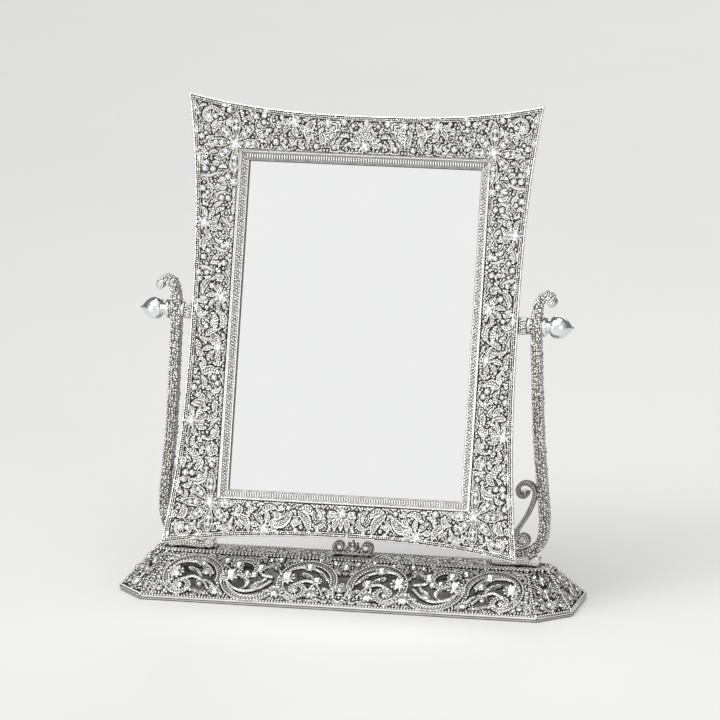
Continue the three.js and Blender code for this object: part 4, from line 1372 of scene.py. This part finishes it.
class Facet:
    """One sloping side of the base, as a surface. x runs along it from its middle, y up the
    slope from the lip."""

    def __init__(self, index):
        self.a, self.b = LOW[index - 1], LOW[index]
        self.d, self.c = HIGH[index - 1], HIGH[index]
        self.low = np.linalg.norm(self.b - self.a) / 2
        self.high = np.linalg.norm(self.c - self.d) / 2
        self.rise = np.linalg.norm((self.c + self.d - self.a - self.b) / 2)

    def point(self, x, y):
        s = (y / self.rise)[..., None]
        half = self.low + (self.high - self.low) * (y / self.rise)
        t = (0.5 + x / (2 * half))[..., None]
        return (self.a * (1 - t) + self.b * t) * (1 - s) + (self.d * (1 - t) + self.c * t) * s

    def __call__(self, x, y, h):
        x, y, h = arrays(x, y, h)
        e = 0.05
        right = self.point(x + e, y) - self.point(x - e, y)
        up = self.point(x, y + e) - self.point(x, y - e)
        out = np.cross(right, up)
        out /= np.linalg.norm(out, axis=-1, keepdims=True)
        return self.point(x, y) + out * h[..., None]

    def art(self, step, half_only=False):
        """Its empty relief, with a row of grains above the lip and one under the top edge."""
        relief = Relief((-self.low - 1, 0.0 if half_only else self.low + 1),
                        (-0.6, self.rise + 0.6), step)
        lean = (self.low - self.high) / self.rise
        edge = (self.low - lean * relief.Y - np.abs(relief.X)) / math.hypot(1, lean)
        relief.inside = np.minimum.reduce([edge, relief.Y + 0.3, self.rise + 0.3 - relief.Y])
        art = Filigree(relief)
        for reach, y, pitch, radius in ((self.low - 1, 1.5, 2.3, 1.05),
                                        (self.high - 1, self.rise - 1.1, 2.8, 1.25)):
            line = [(-reach, y), (0 if half_only else reach, y)]
            window, d = relief.near(line, 2.0)[:2]
            relief.height[window] = np.where(d < 1.7, -0.7, relief.height[window])
            relief.away[window] = np.minimum(relief.away[window], d - 1.7)
            art.bead_line(line, pitch, radius, -0.1)
        return art


def add_hips():
    """A row of grains down each of the eight hips, over the joint of its two sides."""
    beads = Mesh()
    for facet in map(Facet, range(8)):
        hip = evenly([(facet.low, 0.6), (facet.high, facet.rise)], 2.7)
        scatter(beads, BEAD, facet, *hip.T, -0.35, RNG.uniform(1.1, 1.3, len(hip)),
                bead_shade(1.2, 0.75))
    mesh_object("base_hip_beads", beads, BEAD_SILVER, "stand")


def scroll_band(art, line, half=2.9, taper=0.0):
    """A scroll of the base: a band with a row of grains along each edge and a smooth core."""
    art.relief.add_metal(line, half, taper)
    art.relief.band(line, half, 0.7 * SCROLL_LIFT, taper, core=0.4)
    width = half * (1 - taper * np.linspace(0, 1, len(line))**1.5) * 0.78
    for side, radius, lift in ((-1, 1.02, 0.6), (0, 0.65, 0.35), (1, 1.02, 0.6)):
        art.bead_line(offset_line(line, side * width), 2.35, radius, SCROLL_LIFT * lift)


def curl_leaf(art, points, half):
    line = smooth_curve(points, 18)
    half *= 0.86
    art.relief.add_metal(line, half * 0.75, 0.35)
    art.relief.leaf(line, half, LEAF_LIFT, veins=1.7, lobes=3, power=0.6)


def front_windows(art):
    """Openings, C-scrolls, leaves and stones of the left half of the long sides."""
    relief = art.relief
    for x, y, rx, ry in ((-117.5, 25, 21, 19.5), (-72, 25, 22, 20), (-28.5, 25, 20.5, 19.5),
                         (0, 31, 6.5, 4.0)):
        q = np.hypot((relief.X - x) / rx, (relief.Y - y) / ry)
        relief.inside = np.minimum(relief.inside, (q - 1) * min(rx, ry))
    relief.slit([(-94.5, 8), (-94.5, 14)], 1.4)
    relief.slit([(-50.3, 36), (-50.3, 42)], 1.4)
    for arc, curl in (
            (((-118, 24), 21.5, 20.5, -0.03, 0.68, 60), ((-126, 13.5), 8.6, 2.6, 0.62, 1.75, 40)),
            (((-71, 25), 22.5, 21.5, 0.47, 0.93, 50), ((-78, 33), 12.5, 3.5, 0.42, -0.55, 44)),
            (((-28, 24), 21.5, 20.5, -0.02, 0.68, 60), ((-35, 15), 8.6, 2.6, 0.62, 1.75, 40))):
        scroll_band(art, spiral(*arc))
        scroll_band(art, spiral(*curl), half=2.1, taper=0.4)
    for points in ([(-137, 30), (-130, 39), (-119, 40.5), (-108, 36), (-103, 29)],
                   [(-92, 22), (-84, 14), (-74, 11), (-64, 15), (-56, 23)],
                   [(-47, 30), (-40, 39), (-29, 40.5), (-18, 36), (-13, 29)],
                   [(-126, 20), (-118, 24), (-110, 20), (-104, 12)],
                   [(-36, 22), (-28, 26), (-20, 22), (-14, 12)],
                   [(-70, 44), (-68, 36), (-64, 30), (-56, 28)]):
        line = smooth_curve(points, 26)
        relief.add_metal(line, 1.5)
        relief.ridge(line, 1.5, 1.25)
        art.bead_line(line, 1.6, 0.75, 1.15)
    for half, points in (
            (3.4, [(-122, 33), (-116, 30), (-112, 24), (-114, 18)]),
            (2.8, [(-112, 36), (-106, 30), (-104, 24)]), (3.0, [(-108, 20), (-102, 16), (-98, 9)]),
            (2.6, [(-133, 20), (-137, 14), (-136, 8)]), (2.8, [(-120, 10), (-112, 8), (-104, 5)]),
            (3.2, [(-82, 28), (-76, 24), (-74, 18), (-78, 13)]),
            (2.8, [(-68, 20), (-62, 24), (-60, 30)]), (2.8, [(-64, 38), (-58, 40), (-53, 36)]),
            (2.8, [(-60, 12), (-54, 14), (-49, 20)]),
            (3.4, [(-32, 33), (-26, 30), (-22, 24), (-24, 18)]),
            (2.8, [(-18, 34), (-13, 30), (-10, 24)]), (3.0, [(-14, 18), (-9, 14), (-8, 7)]),
            (2.6, [(-28, 10), (-20, 8), (-14, 5)]), (3.0, [(-4, 24), (-6, 16), (-4, 8)]),
            (2.8, [(-4, 36), (-8, 42), (-6, 48)])):
        curl_leaf(art, points, half)
    for x, y, r in ((-132, 27, 3.8), (-113, 39.5, 2.6), (-88, 27, 3.8), (-84, 38, 2.4),
                    (-66, 36, 2.3), (-70, 28, 1.8), (-67, 15, 2.0), (-50, 11, 3.6),
                    (-44, 27, 3.8), (-28, 40, 2.4), (-22, 12, 3.4), (-20, 25, 2.4),
                    (-126, 12.5, 1.8), (-35, 14.5, 1.8), (-108, 29, 2.0), (-97, 8, 2.3),
                    (0, 18, 2.4), (0, 42, 2.0), (-94, 42, 1.9), (-52, 46, 1.7), (-141, 8, 1.8),
                    (-111, 15, 1.5), (-9, 46, 1.4), (-76, 30, 1.5)):
        relief.add_metal([[x, y]], r * 1.25)
        art.stone(x, y, r, 1.35)


def end_motifs(art, facet):
    """Leaves and stones of the chamfers and ends, with small piercings between them."""
    wide = facet.low
    for y, spread in ((13, 0.55), (28, 0.4), (42, 0.2)):
        for sign in (-1, 1):
            base = [(sign * 0.6, y - 9), (sign * wide * spread * 0.5, y - 3),
                    (sign * wide * spread, y + 5)]
            curl_leaf(art, base, 3.0)
            art.relief.slit(offset_line(smooth_curve(base, 12), sign * 4.3)[3:-2], 1.1)
    art.relief.ridge([(0, 3), (0, facet.rise - 4)], 1.1, 1.2)
    art.stones_at(((0, 10, 2.6), (0, 24, 1.8), (0, 36, 1.5), (wide * 0.5, 8, 1.5),
                   (-wide * 0.5, 8, 1.5), (wide * 0.35, 24, 1.3), (-wide * 0.35, 24, 1.3)), 1.1)


def slope_flow(x, y):
    return 1.9 * math.sin(x / 8.0) + 1.4 * math.cos(y / 7.0)


def finish_facet(art, facet, sheet, both=False, base=0.45):
    """Fills the ground of a side and adds its metal to a sheet; returns its beads and stones."""
    relief = art.relief
    fill_leaves(art, (1.2, 0.3), slope_flow, 700, (5, 9), (1.4, 2.2), 0.3, 1.6)
    spans = ((relief.X.min(), relief.X.max()), (relief.Y.min(), relief.Y.max()))
    fill_grains(art, 2200 if both else 900, spans, 1.0, 0.08)
    fill_beads(art, 2.1, (0.6, 1.0))
    relief.grain_ground(1.9, 0.7)
    relief.soften(1.0, 0.6)
    gather = mirrored_list if both else np.array
    if both:
        relief = relief.mirrored()
    hip = facet.low - np.abs(relief.X) - relief.Y * (facet.low - facet.high) / facet.rise
    rim = 0.5 * np.clip(1 - np.abs(hip) / 2, 0, 1)
    relief.solid(sheet, facet, 2.3, oxide=relief.cavity(1.3, 2.2, base, 0.3, 0.6) + rim,
                 jitter=0.03, under=0.2)
    return gather(art.beads), gather(art.stones)


def build_base():
    for turn, word in ((0, "front"), (4, "back")):
        facet, sheet = Facet(turn), Mesh()
        art = facet.art(0.55, half_only=True)
        front_windows(art)
        beads, stones = finish_facet(art, facet, sheet, both=True)
        mesh_object(f"base_{word}_filigree", sheet, ANTIQUE, "stand", ("base_casting",), sharp=45)
        add_beads(f"base_{word}_beads", beads, facet, "stand", oxide=0.1)
        add_stones(f"base_{word}", stones, facet, "stand")
    for turn, word in ((1, "right"), (5, "left")):
        sheet = Mesh()
        for step in range(3):
            facet = Facet(turn + step)
            art = facet.art(0.6)
            end_motifs(art, facet)
            beads, stones = finish_facet(art, facet, sheet, base=0.78)
            add_beads(f"base_{word}_beads_{step + 1}", beads, facet, "stand", oxide=0.35)
            add_stones(f"base_{word}_{step + 1}", stones, facet, "stand")
        mesh_object(f"base_{word}_filigree", sheet, ANTIQUE, "stand", ("base_casting",), sharp=45)
    add_hips()
    build_base_top()
    build_base_lip()


def inset_ring(ring, distance):
    """A convex ring moved in by a distance, its corners kept sharp."""
    out = []
    for p, q, r in zip(np.roll(ring, 1, 0)[:, :2], ring[:, :2], np.roll(ring, -1, 0)[:, :2]):
        u, v = (q - p) / np.linalg.norm(q - p), (r - q) / np.linalg.norm(r - q)
        nu, nv = np.array([-u[1], u[0]]), np.array([-v[1], v[0]])
        out.append(q + (nu + nv) * distance / (1 + nu @ nv))
    return np.array(out)


def build_base_top():
    """The flat top: scrolls and leaves between two rows of grains, bare under the posts."""
    relief = Relief((-TOP_X - 1, TOP_X + 1), (-TOP_Y - 1, TOP_Y + 1), 0.6)
    X, Y = relief.X, relief.Y
    slope = np.array(TOP_CORNER[::-1]) / np.linalg.norm(TOP_CORNER)
    corner = (TOP_X - np.abs(X)) * slope[0] + (TOP_Y - TOP_CORNER[1] - np.abs(Y)) * slope[1]
    edge = np.minimum.reduce([TOP_X - np.abs(X), TOP_Y - np.abs(Y), corner])
    relief.inside = edge
    art = Filigree(relief)
    relief.lift(np.s_[:], 0.0, edge - 2.3)
    ring = octagon(TOP_X, TOP_Y, TOP_CORNER, 0)
    for inset, pitch, radius in ((1.0, 2.8, 1.2), (3.6, 2.0, 0.7)):
        path = inset_ring(ring, inset)
        art.bead_line(np.vstack([path, path[:1]]), pitch, radius, 0.1)
        art.beads.pop()
    for sign in (-1, 1):
        for k in range(5):
            for way in (-1, 1):
                centre = (sign * (26 + 19 * k), way * 1.5)
                relief.ridge(spiral(centre, 6.2, 1.6, 0.25 * way, way * 1.2, 30), 0.8, 0.5)
    fill_leaves(art, (5.0, 0.3), lambda x, y: 1.7 * math.sin(x / 9), 500, (5, 8), (1.2, 1.8), 0.0)
    fill_beads(art, 2.0)
    relief.height = np.where(edge < 2.3, -0.5, np.minimum(relief.height, 0.5))
    relief.grain_ground(1.6, 0.4)
    beads = np.array(art.beads)
    x, y = np.abs(beads[:, :2]).T
    beads = beads[((np.abs(x - 129) > 21) & ((x > 18) | (y > 4))) | (y > 7)]
    top = flat_surface((0, 0, TOP_Z - 0.4), (1, 0, 0), (0, 1, 0))
    plate = relief.solid(Mesh(), top, 2.0, oxide=relief.cavity(base=0.95), jitter=0.05)
    mesh_object("base_top_plate", plate, ANTIQUE, "stand", ("base_casting",), sharp=45)
    add_beads("base_top_beads", beads, top, "stand", oxide=0.35 * (np.abs(beads[:, 1]) < 12))


def build_base_lip():
    """Plain lip round the foot of the base, with painted shade low on it, and the pillars under its
    top.
    """
    outer = octagon(HALF_X, HALF_Y, CORNER, 0)
    profile = [(0.5, 0.5), (0.1, 0.9), (0.1, 1.7), (0.5, 1.9), (0.5, 2.2), (0.0, 2.4), (0.0, 3.2),
               (0.3, 3.5), (1.3, 4.0), (2.2, 3.5), (2.5, 0.9), (2.2, 0.5)]
    # Foot and lower band painted dark as contact shadow and shade; the groove holds oxide.
    tones_with_painted_light = [0.9, 0.35, 0.35, 1, 1, 0.05, 0, 0.05, 0.5, 1, 0.5, 0.5]
    rows = [np.c_[inset_ring(outer, d), np.full(8, z)] for d, z in profile]
    lip = Mesh().add(np.stack(rows, 1), [ring_faces(8, len(profile))[:, [0, 3, 2, 1]]], tones_with_painted_light * 8)
    for x in (-100, -40, 40, 100):
        lip.add(*lathe([(0.01, 3.0), (4.0, 3.0), (4.0, 27), (5.5, 29), (0.01, 29)], (0, 0, 1),
                       (x, 0, 0), 28), 0.3)
    mesh_object("base_lip", lip, SOFT, "stand", ("base_casting",), sharp=30)


# ---------------------------------------------------------------- floor, light and camera

PHOTO = 720  # pixels a side
PIXEL = 0.001 / 1.3021  # metres at the aim point for one pixel of the photograph
AZIMUTH, ELEVATION, ROLL = math.radians(12.31), math.radians(10.65), math.radians(0.56)
DISTANCE, AIM_HEIGHT = 4.287, 0.190
AIM_PIXEL = (355.13, 352.87)
SENSOR = 36.0


def add_floor(size):
    data = bpy.data.meshes.new("floor")
    corners = [(-size, -size, 0), (size, -size, 0), (size, size, 0), (-size, size, 0)]
    data.from_pydata(corners, [], [(0, 1, 2, 3)])
    data.materials.append(floor_material())
    floor = bpy.data.objects.new("floor", data)
    bpy.context.scene.collection.objects.link(floor)


def add_world():
    """Grey surroundings, brightest up in front of the object."""
    world = bpy.data.worlds.new("studio")
    bpy.context.scene.world = world
    world.use_nodes = True
    background = world.node_tree.nodes["Background"]
    tree = world.node_tree
    toward = tree.nodes.new("ShaderNodeVectorMath")
    toward.operation = "DOT_PRODUCT"
    toward.inputs[1].default_value = (0, -0.862, 0.507)
    tree.links.new(tree.nodes.new("ShaderNodeTexCoord").outputs["Generated"], toward.inputs[0])
    ramp = tree.nodes.new("ShaderNodeValToRGB")
    stops = ramp.color_ramp.elements
    stops.new(0.5)
    for stop, (place, tone) in zip(stops, ((0.1, 0.2), (0.5, 0.5), (0.84, 0.87))):
        stop.position = place
        stop.color = (tone, tone, tone * 0.995, 1)
    tree.links.new(toward.outputs["Value"], ramp.inputs[0])
    tree.links.new(ramp.outputs[0], background.inputs["Color"])
    background.inputs["Strength"].default_value = 1.06


def add_light(name, kind, power):
    light = bpy.data.lights.new(name, kind)
    light.energy = power
    lamp = bpy.data.objects.new(name, light)
    bpy.context.scene.collection.objects.link(lamp)
    return light, lamp


def add_panel(name, place, target, size, power):
    """Soft rectangular light that faces a place."""
    light, lamp = add_light(name, "AREA", power)
    light.shape = "RECTANGLE"
    light.size, light.size_y = size
    lamp.location = place
    lamp.rotation_mode = "QUATERNION"
    lamp.rotation_quaternion = (Vector(target) - Vector(place)).to_track_quat("-Z", "Y")


def add_overhead():
    """Wide soft light from above and in front, even over the whole floor."""
    light, lamp = add_light("overhead", "SUN", 0.84)
    light.angle = math.radians(60)
    lamp.rotation_euler = (math.radians(25), math.radians(-12), 0)


def add_camera():
    data = bpy.data.cameras.new("camera")
    data.sensor_width = SENSOR
    data.lens = SENSOR * DISTANCE / (PHOTO * PIXEL)
    data.clip_start, data.clip_end = 0.1, 50.0
    camera = bpy.data.objects.new("camera", data)
    back = Vector((math.sin(AZIMUTH) * math.cos(ELEVATION),
                   -math.cos(AZIMUTH) * math.cos(ELEVATION), math.sin(ELEVATION)))
    centre = Vector((0, 0, AIM_HEIGHT))
    place = centre + DISTANCE * back
    level = (-back).to_track_quat("-Z", "Y").to_matrix()
    right, down = (PIXEL * (PHOTO / 2 - pixel) for pixel in AIM_PIXEL)
    aim = centre + level.col[0] * right - level.col[1] * down
    look = (aim - place).to_track_quat("-Z", "Y").to_matrix() @ Matrix.Rotation(ROLL, 3, "Z")
    camera.matrix_world = Matrix.Translation(place) @ look.to_4x4()
    bpy.context.scene.collection.objects.link(camera)
    bpy.context.scene.camera = camera


# ---------------------------------------------------------------- build

build_frame_band()
build_moulding()
build_back()
build_axis()
build_posts()
build_brackets()
build_crest()
build_hidden_screws()
build_base()
cad_finish("mirror_glass", mirror_material(), 0.3)
cad_finish("backing_board", board_material())
cad_finish("base_bottom_sheet", SHEET, 0.3)
cad_finish("base_felt", felt_material(), 0.3)

add_floor(30.0)
add_world()
add_panel("key", (-1.3, -1.9, 2.2), (0, 0, 0.2), (1.3, 1.3), 17)
add_panel("fill", (1.6, -2.3, 0.75), (0, 0, 0.1), (1.4, 0.7), 8)
add_panel("top", (0.1, 0.5, 2.6), (0, 0, 0.15), (1.8, 1.2), 11)
add_panel("behind", (0.2, 4.4, 2.1), (0, 0.2, 0.0), (3.2, 1.2), 24)
add_panel("low", (-1.75, -1.7, 0.55), (0, 0, 0.03), (1.2, 0.6), 9)
add_overhead()
add_camera()
bpy.context.scene.view_settings.view_transform = "Standard"
